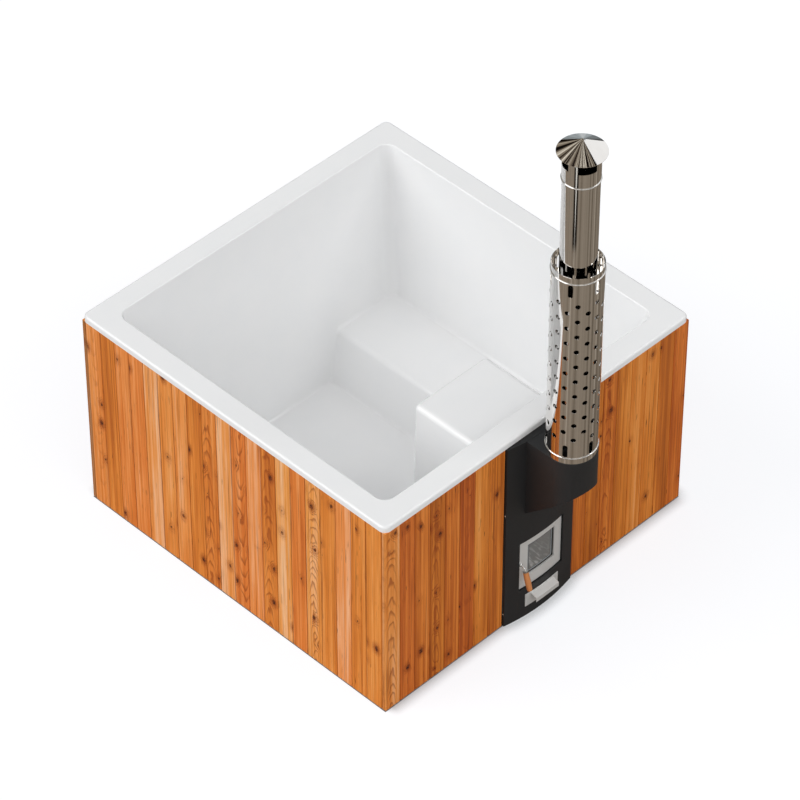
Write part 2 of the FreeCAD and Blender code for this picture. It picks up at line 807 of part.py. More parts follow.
def door():
    pocket = margin(glass_rect, fit_gap)
    frame_solid = bow_slab(door_recess, door_back, *door_rect)
    groove_outer = margin(seal_rect, seal_width / 2)
    groove_inner = margin(seal_rect, -seal_width / 2)
    groove_front = door_back - seal_groove
    groove = bow_frame(groove_front, door_back + over, groove_outer, groove_inner)
    cuts = [bow_slab(door_recess - over, door_back + over, *window_rect),
            bow_slab(door_recess + window_lip, door_back + over, *pocket), groove]
    pin_hole = hinge_pin_radius + running_gap
    cuts.append(upright(pin_hole, hinge_x, hinge_y, door_bottom - over, door_bottom + hinge_pin_bite))
    cuts.append(upright(pin_hole, hinge_x, hinge_y, door_top - hinge_pin_bite, door_top + over))
    cuts.append(spindle(handle_rod_radius + running_gap, panel_front, plate_front))
    screw_hole = retainer_screw_radius + running_gap
    for x, z in retainer_screw_spots():
        y = bow_y(x, door_back)
        cuts.append(rod(screw_hole, V(x, y - retainer_screw_depth, z), V(x, y + door_thickness, z)))
    save("door_frame", frame_solid.cut(cuts))

    front_gasket = door_recess + window_lip
    glass_front = front_gasket + gasket_thickness
    glass_back = glass_front + glass_thickness
    save("door_glass", bow_slab(glass_front, glass_back, *glass_rect))
    save("glass_gaskets", [bow_frame(front_gasket, glass_front, glass_rect, window_rect),
                           bow_frame(glass_back, door_back, glass_rect, window_rect)])
    seal_outer = margin(groove_outer, -fit_gap)
    seal_inner = margin(groove_inner, fit_gap)
    save("door_seal", bow_frame(groove_front, seal_back, seal_outer, seal_inner))

    retainer_back = door_back + retainer_sheet
    retainer = bow_frame(door_back, retainer_back, margin(window_rect, retainer_width), window_rect)
    holes = []
    screws = []
    for x, z in retainer_screw_spots():
        y = bow_y(x, door_back)
        back = bow_y(abs(x) + retainer_screw_head_radius, retainer_back)
        holes.append(rod(screw_hole, V(x, y - over, z), V(x, y + door_thickness, z)))
        shank = rod(retainer_screw_radius, V(x, y - retainer_screw_depth + fit_gap, z), V(x, back, z))
        head = rod(retainer_screw_head_radius, V(x, back, z), V(x, back + retainer_screw_head_height, z))
        screws.append(fuse([shank, head]))
    save("glass_retainer", retainer.cut(holes))
    save("retainer_screws", screws)

    low = door_bottom - door_gap
    high = door_top + door_gap + surround_sheet
    bite = hinge_pin_bite - fit_gap
    pin = upright(hinge_pin_radius, hinge_x, hinge_y, low - surround_sheet, door_bottom + bite)
    collar = upright(hinge_collar_radius, hinge_x, hinge_y, low + fit_gap, door_bottom)
    upper = upright(hinge_pin_radius, hinge_x, hinge_y, door_top - bite, high)
    save("hinge_pins", [fuse([pin, collar]), upper])


def doorway():
    surround_rect = margin(doorway_rect, surround_sheet)
    surround = bow_frame(panel_sheet, panel_sheet + surround_depth, surround_rect, doorway_rect)
    pin_hole = upright(hinge_pin_radius + running_gap, hinge_x, hinge_y, 0, tub_height)
    save("door_surround", surround.cut(pin_hole))
    save("door_throat", sleeve(throat_rect, throat_wall, seal_back + fit_gap))
    save("flue_throat", sleeve(flue_rect, throat_wall, panel_sheet))
    save("drawer_guide", sleeve(drawer_rect, guide_sheet, panel_sheet))


def handle():
    front = bow_y(handle_x, door_recess)
    back = bow_y(handle_x, door_back)
    lean = math.radians(handle_lean)
    down = V(0, -math.sin(lean), -math.cos(lean))
    cam_front = back + cam_gap
    cam_back = cam_front + cam_thickness
    bend_start = V(handle_x, front - handle_reach, handle_z)
    centre = bend_start + V(0, 0, -handle_bend_radius)
    middle_turn = (math.pi / 2 - lean) / 2
    bend_mid = centre + V(0, -math.sin(middle_turn), math.cos(middle_turn)) * handle_bend_radius
    end_turn = math.pi / 2 - lean
    bend_end = centre + V(0, -math.sin(end_turn), math.cos(end_turn)) * handle_bend_radius
    rod_end = bend_end + down * (handle_neck + ferrule_length + grip_length / 2)
    start = V(handle_x, cam_back, handle_z)
    path = Part.Wire([Part.LineSegment(start, bend_start).toShape(),
                      Part.Arc(bend_start, bend_mid, bend_end).toShape(),
                      Part.LineSegment(bend_end, rod_end).toShape()])
    loop = Part.Wire([Part.makeCircle(handle_rod_radius, start, V(0, -1, 0))])
    collar_back = bow_y(abs(handle_x) - handle_collar_radius, door_recess) - fit_gap
    collar = spindle(handle_collar_radius, collar_back - handle_collar_thickness, collar_back)
    save("handle_rod", fuse([path.makePipeShell([loop], True, False), collar]))

    ferrule_start = bend_end + down * handle_neck
    grip_start = ferrule_start + down * ferrule_length
    grip_end = grip_start + down * grip_length
    bore = rod(handle_rod_radius + running_gap, bend_end, rod_end + down * fit_gap)
    save("grip_ferrule", rod(ferrule_radius, ferrule_start, grip_start).cut(bore))
    save("handle_grip", turned_grip(grip_start, down).cut(bore))

    hub = spindle(cam_hub_radius, cam_front, cam_back)
    tip_x = -door_half - door_gap + cam_end_gap
    low = handle_z - handle_rod_radius
    tongue = box(tip_x, handle_x, cam_front, cam_back, low, handle_z + handle_rod_radius)
    hole = spindle(handle_rod_radius + running_gap, cam_front - over, cam_back + over)
    save("latch_cam", fuse([hub, tongue]).cut(hole))


def turned_grip(start, along):
    """Wooden grip, turned with a slight swell and rounded ends on its own axis, then set in place."""
    slim = grip_radius - grip_swell
    foot = V(0, 0, 0)
    head = V(0, 0, grip_length)
    foot_edge = V(slim, 0, 0)
    head_edge = V(slim, 0, grip_length)
    swell = Part.Arc(foot_edge, V(grip_radius, 0, grip_length / 2), head_edge)
    wire = Part.Wire([Part.LineSegment(foot, foot_edge).toShape(), swell.toShape(),
                      Part.LineSegment(head_edge, head).toShape(), Part.LineSegment(head, foot).toShape()])
    solid = Part.Face(wire).revolve(foot, V(0, 0, 1), 360)
    ends = edges_where(solid, lambda b: b.ZLength < over and b.XLength > slim)
    solid = solid.makeFillet(grip_end_radius, ends)
    solid.Placement = FreeCAD.Placement(start, FreeCAD.Rotation(V(0, 0, 1), along))
    return solid


# Ash drawer

def ash_drawer():
    half = drawer_front_width / 2
    back = -drawer_front_gap
    front = back - drawer_front_sheet
    save("drawer_front", bow_slab(front, back, -half, half, drawer_front_bottom,
                                  drawer_front_bottom + drawer_front_height))
    tray_end = firebox_back - firebox_sheet - tray_back_gap
    top = tray_floor + tray_height
    outer = box(-tray_half_width, tray_half_width, panel_front - far, tray_end, tray_floor, top)
    outer = outer.common(bow_drum(back, 0, tub_height))
    inner = box(-tray_half_width + tray_sheet, tray_half_width - tray_sheet, panel_front - far,
                tray_end - tray_sheet, tray_floor + tray_sheet, top + over)
    save("ash_tray", outer.cut(inner.common(bow_drum(back + tray_sheet, 0, tub_height))))

    face = bow_y(0, front)
    tip = face - pull_reach
    root = bow_y(pull_width / 2, back)
    slope = pull_drop / pull_reach
    root_level = pull_level + slope * (root - face)
    tip_level = pull_level - pull_drop
    outline = [(root, root_level), (tip, tip_level), (tip, tip_level - pull_lip),
               (tip + pull_sheet, tip_level - pull_lip), (tip + pull_sheet, tip_level - pull_sheet),
               (root, root_level - pull_sheet)]
    points = [V(-pull_width / 2, y, z) for y, z in outline]
    save("drawer_pull", prism(points, V(pull_width, 0, 0)).cut(bow_drum(front, 0, tub_height)))


# Flue box and chimney

def flue_prism(inset, z0, z1):
    radius = flue_box_radius - inset
    block = box(-radius, radius, flue_y, panel_front + panel_sag, z0, z1)
    return fuse([block, upright(radius, 0, flue_y, z0, z1)])


def flue_box():
    nose = flue_y - flue_box_radius
    low_panel = flue_box_top - flue_box_depth_at_panel
    low_nose = flue_box_top - flue_box_depth_at_nose
    slope = (low_nose - low_panel) / (panel_front - nose)
    lift = flue_box_sheet * math.sqrt(1 + slope ** 2)

    def below(rise):
        reach = flue_offset + flue_box_radius
        points = [V(-far, panel_front + reach, low_panel - slope * reach + rise),
                  V(-far, nose - reach, low_nose + slope * reach + rise),
                  V(-far, nose - reach, -far), V(-far, panel_front + reach, -far)]
        return prism(points, V(2 * far, 0, 0))

    outer = flue_prism(0, 0, flue_box_top).cut(below(0))
    inner = flue_prism(flue_box_sheet, 0, flue_box_top - flue_box_sheet).cut(below(lift))
    roof = flue_box_top - flue_box_sheet
    mouth = upright(flue_radius - flue_sheet, 0, flue_y, roof - over, flue_box_top + over)
    save("flue_box", outer.cut([inner, mouth, bow_drum(0, 0, tub_height)]))


def bead(radius, z):
    return Part.makeTorus(radius, guard_bead, V(0, flue_y, z))


def around(count, turn):
    return [math.radians(turn + 360.0 * i / count) for i in range(count)]


def radial(shape, angle):
    """Turns a tool that points along +X about the chimney's axis."""
    tool = shape.copy()
    tool.rotate(V(0, 0, 0), V(0, 0, 1), math.degrees(angle))
    tool.translate(V(0, flue_y, 0))
    return tool


def guard_cuts(low, high):
    reach = guard_radius + 2 * guard_bead
    inside = flue_radius + socket_wall
    cuts = []
    for i, angle in enumerate(around(guard_hole_columns, guard_hole_turn)):
        rows = guard_hole_rows - i % 2
        first = low + guard_hole_start + (i % 2) * guard_hole_pitch / 2
        for row in range(rows):
            z = first + row * guard_hole_pitch
            cuts.append(radial(rod(guard_hole_radius, V(inside, 0, z), V(reach, 0, z)), angle))
    half = guard_slot_width / 2
    straight = guard_slot_length - guard_slot_width
    low_row = low + guard_low_bead + guard_slot_clear
    high_row = high - guard_high_bead - guard_slot_clear - guard_slot_length
    for start in (low_row, high_row):
        z = start + half
        slot = fuse([box(inside, reach, -half, half, z, z + straight),
                     rod(half, V(inside, 0, z), V(reach, 0, z)),
                     rod(half, V(inside, 0, z + straight), V(reach, 0, z + straight))])
        cuts += [radial(slot, angle) for angle in around(guard_slot_count, guard_slot_turn)]
    return cuts


def chimney():
    low = flue_box_top
    mouth = low + flue_length
    save("flue_pipe", ring(flue_radius, flue_radius - flue_sheet, 0, flue_y, low, mouth))
    socket_bore = flue_radius + sleeve_gap
    foot = upright(socket_foot_radius, 0, flue_y, low, low + socket_foot_thickness)
    socket = fuse([foot, upright(socket_bore + socket_wall, 0, flue_y, low, low + socket_height)])
    save("flue_socket", socket.cut(upright(socket_bore, 0, flue_y, low - over, low + socket_height + over)))

    high = low + guard_height
    guard = fuse([upright(guard_radius, 0, flue_y, low, high), bead(guard_radius, low + guard_low_bead),
                  bead(guard_radius, high - guard_high_bead)])
    guard = guard.cut(upright(guard_radius - guard_sheet, 0, flue_y, low - over, high + over))
    save("heat_guard", guard.cut(guard_cuts(low, high)))

    spacer_out = guard_radius - guard_sheet - sleeve_gap
    foot_hole = socket_foot_radius + sleeve_gap
    save("guard_bottom_ring", ring(spacer_out, foot_hole, 0, flue_y, low, low + spacer_thickness))
    spacer_top = high - spacer_drop
    spacer = ring(spacer_out, socket_bore, 0, flue_y, spacer_top - spacer_thickness, spacer_top)
    half = spacer_slot_width / 2
    slot = box(socket_bore + spacer_land, spacer_out - spacer_land, -half, half, low, high)
    save("guard_top_ring", spacer.cut([radial(slot, a) for a in around(spacer_slot_count, guard_hole_turn)]))
    chimney_cap(mouth)


def chimney_cap(mouth):
    bore = flue_radius + sleeve_gap
    outer = bore + cap_sheet
    low = mouth - cap_overlap
    eave = mouth + cone_rise
    apex = eave + cone_height
    slant = cone_height / cone_radius
    drop = cone_sheet * math.sqrt(1 + slant ** 2)
    under = Part.makeCone(cone_radius, 0, cone_height, V(0, flue_y, eave - drop))
    collar = fuse([upright(outer, 0, flue_y, low, apex), bead(outer, low + cap_bead_rise)])
    below_cone = fuse([upright(cone_radius, 0, flue_y, 0, eave - drop), under])
    collar = collar.common(below_cone).cut(upright(bore, 0, flue_y, low - over, apex))
    half = math.radians(cap_window_angle / 2)
    window_low = mouth + cap_window_rise
    reach = 2 * outer
    wedge = prism([V(0, 0, window_low), V(reach, -reach * math.tan(half), window_low),
                   V(reach, reach * math.tan(half), window_low)], V(0, 0, cone_rise + cone_height))
    save("cap_collar", collar.cut([radial(wedge, a) for a in around(cap_window_count, cap_window_turn)]))
    hat = Part.makeCone(cone_radius, 0, cone_height, V(0, flue_y, eave))
    skirt = upright(cone_radius, 0, flue_y, eave - drop, eave)
    save("rain_cone", fuse([hat, skirt]).cut(under))


save("tub_shell", tub_shell())
cladding()
frame()
base()
drain()
stove_body()
water_pipes()
front_panel()
door()
doorway()
handle()
ash_drawer()
flue_box()
chimney()
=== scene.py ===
"""Looks of the wood-burning hot tub: finishes, boards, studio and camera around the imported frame."""
import json
import math

import bmesh
import bpy
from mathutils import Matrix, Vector


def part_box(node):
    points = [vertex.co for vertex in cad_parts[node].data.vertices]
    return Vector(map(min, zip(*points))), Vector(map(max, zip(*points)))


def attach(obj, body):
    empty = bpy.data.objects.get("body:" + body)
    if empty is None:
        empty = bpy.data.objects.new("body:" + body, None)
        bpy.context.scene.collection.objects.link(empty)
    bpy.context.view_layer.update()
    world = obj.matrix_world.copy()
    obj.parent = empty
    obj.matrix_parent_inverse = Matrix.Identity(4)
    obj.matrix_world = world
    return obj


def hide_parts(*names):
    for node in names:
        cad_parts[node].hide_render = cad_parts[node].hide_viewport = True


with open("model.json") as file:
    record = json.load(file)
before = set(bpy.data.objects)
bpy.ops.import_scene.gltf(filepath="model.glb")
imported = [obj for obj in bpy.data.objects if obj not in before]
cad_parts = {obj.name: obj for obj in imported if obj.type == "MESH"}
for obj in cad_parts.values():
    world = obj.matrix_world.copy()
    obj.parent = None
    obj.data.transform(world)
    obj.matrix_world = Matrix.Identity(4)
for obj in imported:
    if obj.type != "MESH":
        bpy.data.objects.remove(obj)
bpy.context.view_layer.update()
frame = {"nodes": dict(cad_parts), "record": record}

scene = bpy.context.scene
mm = 0.001

# Which body and which material slot each node of the frame belongs to
body_of = {node: body for body, nodes in frame["record"]["behaviour"]["bodies"].items() for node in nodes}
slot_of = {part["node"]: part["material_slot"] for part in frame["record"]["subparts"]}

# Cladding boards
board_width = 85 * mm
board_seam = 1.6 * mm
board_chamfer = 2.5 * mm
tongue_thickness = 6 * mm
tongue_length = 7 * mm
tone_spread = 0.75

# Each clad wall: its long axis, 0 for X or 1 for Y, its paleness, and the seed of its boards' random draw.
# The seeds of the left and front walls put light and dark boards in much the order of the real walls.
# The paleness is partly each wall's own tone and partly painted light: the left wall, lit by the key, is
# drawn paler than the front walls in the weaker fill.
clad_walls = {
    "cladding_left": (1, 0.32, 5498),
    "cladding_front_left": (0, -0.09, 8216),
    "cladding_front_right": (0, -0.12, 14778),
    "cladding_right": (1, 0.15, 15),
    "cladding_back": (0, 0.15, 19),
}

# Nodes that get a finished copy, by how the real piece is made
turned_nodes = ("flue_pipe", "heat_guard", "guard_bottom_ring", "guard_top_ring", "cap_collar", "rain_cone",
                "flue_socket")
moulded_nodes = ("tub_shell", "door_surround", "handle_rod", "handle_grip", "grip_ferrule", "panel_screws",
                 "drain_strainer", "drain_valve_body", "drain_valve_lever", "drain_pipe", "hinge_pins")
cut_sheet_nodes = ("front_panel", "panel_top_plate", "flue_box", "door_frame", "drawer_front",
                   "drawer_pull")

# Nodes whose finish differs from their slot's
own_finish = {"handle_rod": "bright_rod", "panel_screws": "bright_rod"}

# Finished copies: how far apart doubled points may lie, the round on cut edges of steel sheet, and the
# angles up to which a moulded piece is smooth and past which a cut edge is rounded
doubled_points = 0.002 * mm
sheet_edge = 1 * mm
smooth_angle = math.radians(32)
cut_angle = math.radians(40)

# The chimney's axis, on which all its turned pieces stand
pipe_low, pipe_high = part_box("flue_pipe")
chimney_axis = (pipe_low + pipe_high) / 2

# Noise textures mostly stay between these values
noise_low, noise_high = 0.3, 0.7

# The photograph's camera: eye and aim in metres, and a lens for Blender's 36 mm film
camera_eye = Vector((-9.2305, -9.3109, 12.9473))
camera_aim = Vector((0.1289, 0.0485, 0.4250))
camera_lens = 201.95
camera_reach = 200.0

# The studio's light: an even sky, and lamps with their strength, spread in degrees, direction, and whether
# polished surfaces mirror them. The key comes from the left and behind, the fill from the stove's side, and
# the glint draws thin lights on round edges.
sky_strength = 0.35
lamps = {
    "soft_key": (1.49, 50, (-0.72, 0.37, 0.59), True),
    "soft_fill": (1.04, 70, (-0.2, -0.71, 0.675), False),
    "glint": (0.2, 10, (0.514, -0.6, 0.61), True),
}


def linear(hex_colour):
    """An sRGB hex colour as linear red, green, blue and a full alpha."""
    channels = [int(hex_colour[i:i + 2], 16) / 255 for i in (1, 3, 5)]
    return [c / 12.92 if c <= 0.04045 else ((c + 0.055) / 1.055) ** 2.4 for c in channels] + [1.0]


def feed(tree, node, inputs):
    """Fill a node's live inputs, given by name or by place.

    An input is a value, a hex colour, a socket, or a node, which stands for its first live output.
    """
    live = [socket for socket in node.inputs if socket.enabled]
    for key, value in inputs.items():
        socket = live[key] if isinstance(key, int) else next(s for s in live if s.name == key)
        if isinstance(value, bpy.types.Node):
            value = next(s for s in value.outputs if s.enabled)
        if isinstance(value, bpy.types.NodeSocket):
            tree.links.new(value, socket)
        elif isinstance(value, str) and value.startswith("#"):
            socket.default_value = linear(value)
        else:
            socket.default_value = value


def add(tree, kind, *inputs, stops=(), **settings):
    """Add a node with its settings and links. Inputs go to its sockets in order, or by name from a dict.

    The stops of a colour ramp start with its two ends.
    """
    node = tree.nodes.new(kind)
    for name, value in settings.items():
        setattr(node, name, value)
    for i, (position, colour) in enumerate(stops):
        ramp = node.color_ramp.elements
        element = ramp[i] if i < 2 else ramp.new(position)
        element.position = position
        element.color = linear(colour)
    wanted = {}
    for place, value in enumerate(inputs):
        wanted.update(value if isinstance(value, dict) else {place: value})
    feed(tree, node, wanted)
    return node


def finish(name):
    """A new material with its node tree, its shader and the object's own coordinates in metres."""
    material = bpy.data.materials.new(name)
    material.use_nodes = True
    tree = material.node_tree
    shader = next(node for node in tree.nodes if node.type == "BSDF_PRINCIPLED")
    place = add(tree, "ShaderNodeTexCoord").outputs["Object"]
    return material, tree, shader, place


def board_noise(tree, place, shift, width, length, detail):
    """Noise in patches of a width and a length on a board, moved so that each board has its own."""
    scale = (1 / width, 1 / width, 1 / length)
    spot = add(tree, "ShaderNodeVectorMath", place, scale, shift, operation="MULTIPLY_ADD")
    return add(tree, "ShaderNodeTexNoise", {"Vector": spot, "Scale": 1.0, "Detail": detail})


def larch_knots(tree, across, up, shift, flat_sawn):
    """Knots in some cells of a scatter: how much of a knot, and of the swirl round it, is at each point."""
    spacing_across = 62 * mm
    spacing_up = 190 * mm
    up_shrink = 0.7             # measures heights shorter, so that knots are longer than wide
    largest_radius = 15 * mm
    swirl_reach = 36 * mm
    raggedness = 12 * mm
    ragged_grain = 8 * mm
    core_share = 0.2
    bare_plain = 0.76           # share of the cells without a knot on plain boards, and on flat-sawn ones
    bare_flat = 0.42
    face = add(tree, "ShaderNodeCombineXYZ", across, up, 0.0)
    cell = (1 / spacing_across, 1 / spacing_up, 0.0)
    cells = add(tree, "ShaderNodeVectorMath", face, cell, shift, operation="MULTIPLY_ADD")
    scatter = add(tree, "ShaderNodeTexVoronoi", {"Vector": cells, "Scale": 1.0}, voronoi_dimensions="2D")
    offset = add(tree, "ShaderNodeVectorMath", cells, scatter.outputs["Position"], operation="SUBTRACT")
    real_size = (spacing_across, spacing_up * up_shrink, 0.0)
    offset = add(tree, "ShaderNodeVectorMath", offset, real_size, operation="MULTIPLY")
    ragged = add(tree, "ShaderNodeTexNoise", {"Vector": face, "Scale": 1 / ragged_grain, "Detail": 2.0})
    away = add(tree, "ShaderNodeVectorMath", offset, operation="LENGTH").outputs["Value"]
    away = add(tree, "ShaderNodeMath", ragged, raggedness, away, operation="MULTIPLY_ADD")
    away = add(tree, "ShaderNodeMath", away, raggedness / 2, operation="SUBTRACT")
    draw = add(tree, "ShaderNodeSeparateColor", scatter.outputs["Color"]).outputs[0]
    bare = add(tree, "ShaderNodeMapRange", flat_sawn, 0.0, 1.0, bare_plain, bare_flat)
    share = add(tree, "ShaderNodeMapRange", draw, bare, 1.0, 0.0, 1.0)
    size = add(tree, "ShaderNodeMath", share, largest_radius, operation="MULTIPLY")
    core = add(tree, "ShaderNodeMath", size, core_share, operation="MULTIPLY")
    knot = add(tree, "ShaderNodeMapRange", away, core, size, 1.0, 0.0, interpolation_type="SMOOTHSTEP")
    swirl = add(tree, "ShaderNodeMapRange", away, 0.0, swirl_reach, 1.0, 0.0,
                interpolation_type="SMOOTHSTEP")
    swirl = add(tree, "ShaderNodeMath", swirl, share, operation="MULTIPLY")
    return knot, swirl, ragged


def larch_rings(tree, place, shift, luck, swirl):
    """Growth rings: distance from the pith of a log that tapers and wanders close behind the board.

    Gives how dark the latewood is at each point, and how clearly the rings show as arches there.
    """
    ring_width = 5.5 * mm       # drawn about twice as wide as real rings, so that they show at a step away
    fewest, most = 0.8, 1.3     # rings in that width, on boards of quick and of slow growth
    jitter = 5 * mm
    jitter_width = 22 * mm
    jitter_length = 60 * mm
    knot_bulge = 24 * mm
    board_middle = 450 * mm
    pith_depth = 24 * mm
    pith_spread = 26 * mm
    pith_wander = 26 * mm
    wander_length = 300 * mm
    log_taper = 0.075
    least_taper, most_taper = 0.4, 1.1
    arch_reach = 30 * mm
    arch_core = 0.35 * arch_reach
    arch_rest = 0.15
    half_below, half_above = 0.49, 0.51     # draws on either side of a half, for a choice between two
    latewood_start, latewood_full, latewood_end = 0.5, 0.88, 0.9    # shares of a ring
    across, _, up = add(tree, "ShaderNodeSeparateXYZ", place).outputs
    luck_a, luck_b, luck_c = add(tree, "ShaderNodeSeparateXYZ", luck).outputs

    # The pith's place beside and behind the board, which changes slowly up the board. Half of the boards
    # stand with the log's thick end up.
    drift = (0.0, 0.0, 1 / wander_length)
    drift = add(tree, "ShaderNodeVectorMath", place, drift, shift, operation="MULTIPLY_ADD")
    wander = add(tree, "ShaderNodeTexNoise", {"Vector": drift, "Scale": 1.0, "Detail": 1.0})
    sway, dip, _ = add(tree, "ShaderNodeSeparateColor", wander.outputs["Color"]).outputs
    pith = add(tree, "ShaderNodeMapRange", luck_a, 0.0, 1.0, -pith_spread, 0.0)
    pith = add(tree, "ShaderNodeMath", sway, pith_wander, pith, operation="MULTIPLY_ADD")
    side = add(tree, "ShaderNodeMath", across, pith, operation="SUBTRACT")
    taper = add(tree, "ShaderNodeMapRange", luck_b, half_below, half_above, -log_taper, log_taper)
    slender = add(tree, "ShaderNodeMapRange", luck_c, 0.0, 1.0, least_taper, most_taper)
    taper = add(tree, "ShaderNodeMath", taper, slender, operation="MULTIPLY")
    depth = add(tree, "ShaderNodeMath", up, board_middle, operation="SUBTRACT")
    middle_depth = pith_depth + log_taper * board_middle
    depth = add(tree, "ShaderNodeMath", depth, taper, middle_depth, operation="MULTIPLY_ADD")
    depth = add(tree, "ShaderNodeMath", dip, pith_wander, depth, operation="MULTIPLY_ADD")

    # The distance from the pith, pushed out round knots and jittered, cut into rings
    log_point = add(tree, "ShaderNodeCombineXYZ", side, depth, 0.0)
    radius = add(tree, "ShaderNodeVectorMath", log_point, operation="LENGTH").outputs["Value"]
    radius = add(tree, "ShaderNodeMath", swirl, knot_bulge, radius, operation="MULTIPLY_ADD")
    uneven = board_noise(tree, place, shift, jitter_width, jitter_length, detail=1.0)
    radius = add(tree, "ShaderNodeMath", uneven, jitter, radius, operation="MULTIPLY_ADD")
    growth = add(tree, "ShaderNodeMapRange", luck_b, 0.0, 1.0, fewest / ring_width, most / ring_width)
    ring = add(tree, "ShaderNodeMath", radius, growth, operation="MULTIPLY")
    ring = add(tree, "ShaderNodeMath", ring, operation="FRACT")

    # Each ring darkens slowly to its latewood and ends sharply
    darkening = add(tree, "ShaderNodeMapRange", ring, latewood_start, latewood_full, 0.0, 1.0,
                    interpolation_type="SMOOTHSTEP")
    ending = add(tree, "ShaderNodeMapRange", ring, latewood_end, 1.0, 1.0, 0.0)
    latewood = add(tree, "ShaderNodeMath", darkening, ending, operation="MULTIPLY")
    aside = add(tree, "ShaderNodeMath", side, operation="ABSOLUTE")
    arched = add(tree, "ShaderNodeMapRange", aside, arch_core, arch_reach, 1.0, arch_rest)
    return latewood, arched


def planed_and_oiled_larch():
    # Oiled larch: warm orange-brown and silky, each board its own tone, with knots, and arches on a quarter
    material, tree, shader, _ = finish("larch_planed_and_oiled")
    flat_sawn_share = 0.24
    flat_sawn_blur = 0.05
    figure_draw = 7.3           # draws a board's figure anew from its first draw
    shift_reach = (67.0, 83.0, 47.0)
    groove = 3.5 * mm
    least_seam_shade, most_seam_shade = 0.25, 0.75
    board_part, stripe_part, cloud_part = 0.6, 1.05, 0.6
    tone_start = -0.59
    yellower, redder = 0.505, 0.494
    saturation = 0.985
    ring_strength = 0.62
    ring_relief = 0.5
    halo_strength = 0.8
    heart_dark, heart_brown = 0.35, 0.65
    roughness = (0.38, 0.55)
    place = add(tree, "ShaderNodeAttribute", attribute_name="board_place").outputs["Vector"]
    luck = add(tree, "ShaderNodeAttribute", attribute_name="board_luck").outputs["Vector"]
    across, _, up = add(tree, "ShaderNodeSeparateXYZ", place).outputs
    luck_a, luck_b, luck_c = add(tree, "ShaderNodeSeparateXYZ", luck).outputs
    shift = add(tree, "ShaderNodeVectorMath", luck, shift_reach, operation="MULTIPLY")
    figure = add(tree, "ShaderNodeMath", luck_a, figure_draw, operation="MULTIPLY")
    figure = add(tree, "ShaderNodeMath", figure, operation="FRACT")
    plain_share = 1 - flat_sawn_share
    flat_sawn = add(tree, "ShaderNodeMapRange", figure, plain_share - flat_sawn_blur,
                    plain_share + flat_sawn_blur, 0.0, 1.0)
    knot, swirl, ragged = larch_knots(tree, across, up, shift, flat_sawn)
    latewood, arched = larch_rings(tree, place, shift, luck, swirl)

    # Straight grain: stripes, dark veins, pitch streaks, fibres and slow clouds of tone along the board.
    # The fibres are drawn coarser than real, to show.
    stripe = board_noise(tree, place, shift, width=11 * mm, length=1500 * mm, detail=3.0)
    vein = board_noise(tree, place, shift, width=6 * mm, length=500 * mm, detail=2.0)
    pitch = board_noise(tree, place, shift, width=4 * mm, length=90 * mm, detail=1.0)
    fibre = board_noise(tree, place, shift, width=3 * mm, length=160 * mm, detail=3.0)
    cloud = board_noise(tree, place, shift, width=45 * mm, length=500 * mm, detail=2.0)

    # The board's own draw, its stripes and its clouds add up to a place on the wood's range of tones
    tone = add(tree, "ShaderNodeMath", luck_c, board_part, tone_start, operation="MULTIPLY_ADD")
    tone = add(tree, "ShaderNodeMath", stripe, stripe_part, tone, operation="MULTIPLY_ADD")
    tone = add(tree, "ShaderNodeMath", cloud, cloud_part, tone, operation="MULTIPLY_ADD")
    ground = add(tree, "ShaderNodeValToRGB", tone, stops=(
        (0.0, "#A8500F"), (1.0, "#FFC492"), (0.28, "#CC6A17"), (0.5, "#E88529"), (0.74, "#F69E4C")))
    hue = add(tree, "ShaderNodeMapRange", luck_b, 0.0, 1.0, redder, yellower)
    ground = add(tree, "ShaderNodeHueSaturation", {"Hue": hue, "Saturation": saturation, "Color": ground})

    # How much of each darker colour lies over that ground. Beside the seams the boards are darkened with
    # painted shade of the grooves.
    strength = add(tree, "ShaderNodeMath", flat_sawn, arched, operation="MULTIPLY")
    strength = add(tree, "ShaderNodeMath", strength, ring_strength, swirl, operation="MULTIPLY_ADD",
                   use_clamp=True)
    ring_line = add(tree, "ShaderNodeMath", latewood, strength, operation="MULTIPLY")
    marks = []
    for noise, start, full, cover in ((fibre, 0.45, 0.75, 0.4), (vein, 0.6, 0.74, 0.6),
                                      (pitch, 0.71, 0.78, 0.85)):
        marks.append(add(tree, "ShaderNodeMapRange", noise, start, full, 0.0, cover))
    streak, dark_vein, dark_pitch = marks
    halo = add(tree, "ShaderNodeMath", swirl, halo_strength, operation="MULTIPLY")
    heart = add(tree, "ShaderNodeMapRange", ragged, heart_dark, heart_brown, 0.0, 1.0)
    heart = add(tree, "ShaderNodeMix", heart, "#1C0D08", "#7A3A1C", data_type="RGBA")
    # Painted shade: each board darkens towards its seams, more on some boards than on others
    edge = add(tree, "ShaderNodeMath", across, operation="ABSOLUTE")
    edge = add(tree, "ShaderNodeMapRange", edge, board_width / 2 - groove, board_width / 2 - groove / 3,
               0.0, 1.0)
    seam_shade = add(tree, "ShaderNodeMapRange", luck_a, 0.0, 1.0, least_seam_shade, most_seam_shade)
    edge = add(tree, "ShaderNodeMath", edge, seam_shade, operation="MULTIPLY")
    colour = ground
    for share, tint in ((ring_line, "#8C330A"), (streak, "#B05A12"), (dark_vein, "#7C360C"),
                        (dark_pitch, "#4A1F0A"), (halo, "#963F0C"), (knot, heart), (edge, "#5A280C")):
        colour = add(tree, "ShaderNodeMix", share, colour, tint, data_type="RGBA")

    gloss = add(tree, "ShaderNodeMapRange", fibre, noise_low, noise_high, *roughness)
    relief = add(tree, "ShaderNodeMath", ring_line, ring_relief, fibre, operation="MULTIPLY_ADD")
    bump = add(tree, "ShaderNodeBump", {"Strength": 0.25, "Distance": 0.5 * mm, "Height": relief})
    feed(tree, shader, {"Base Color": colour, "Roughness": gloss, "Specular IOR Level": 0.25,
                        "Normal": bump})
    return material


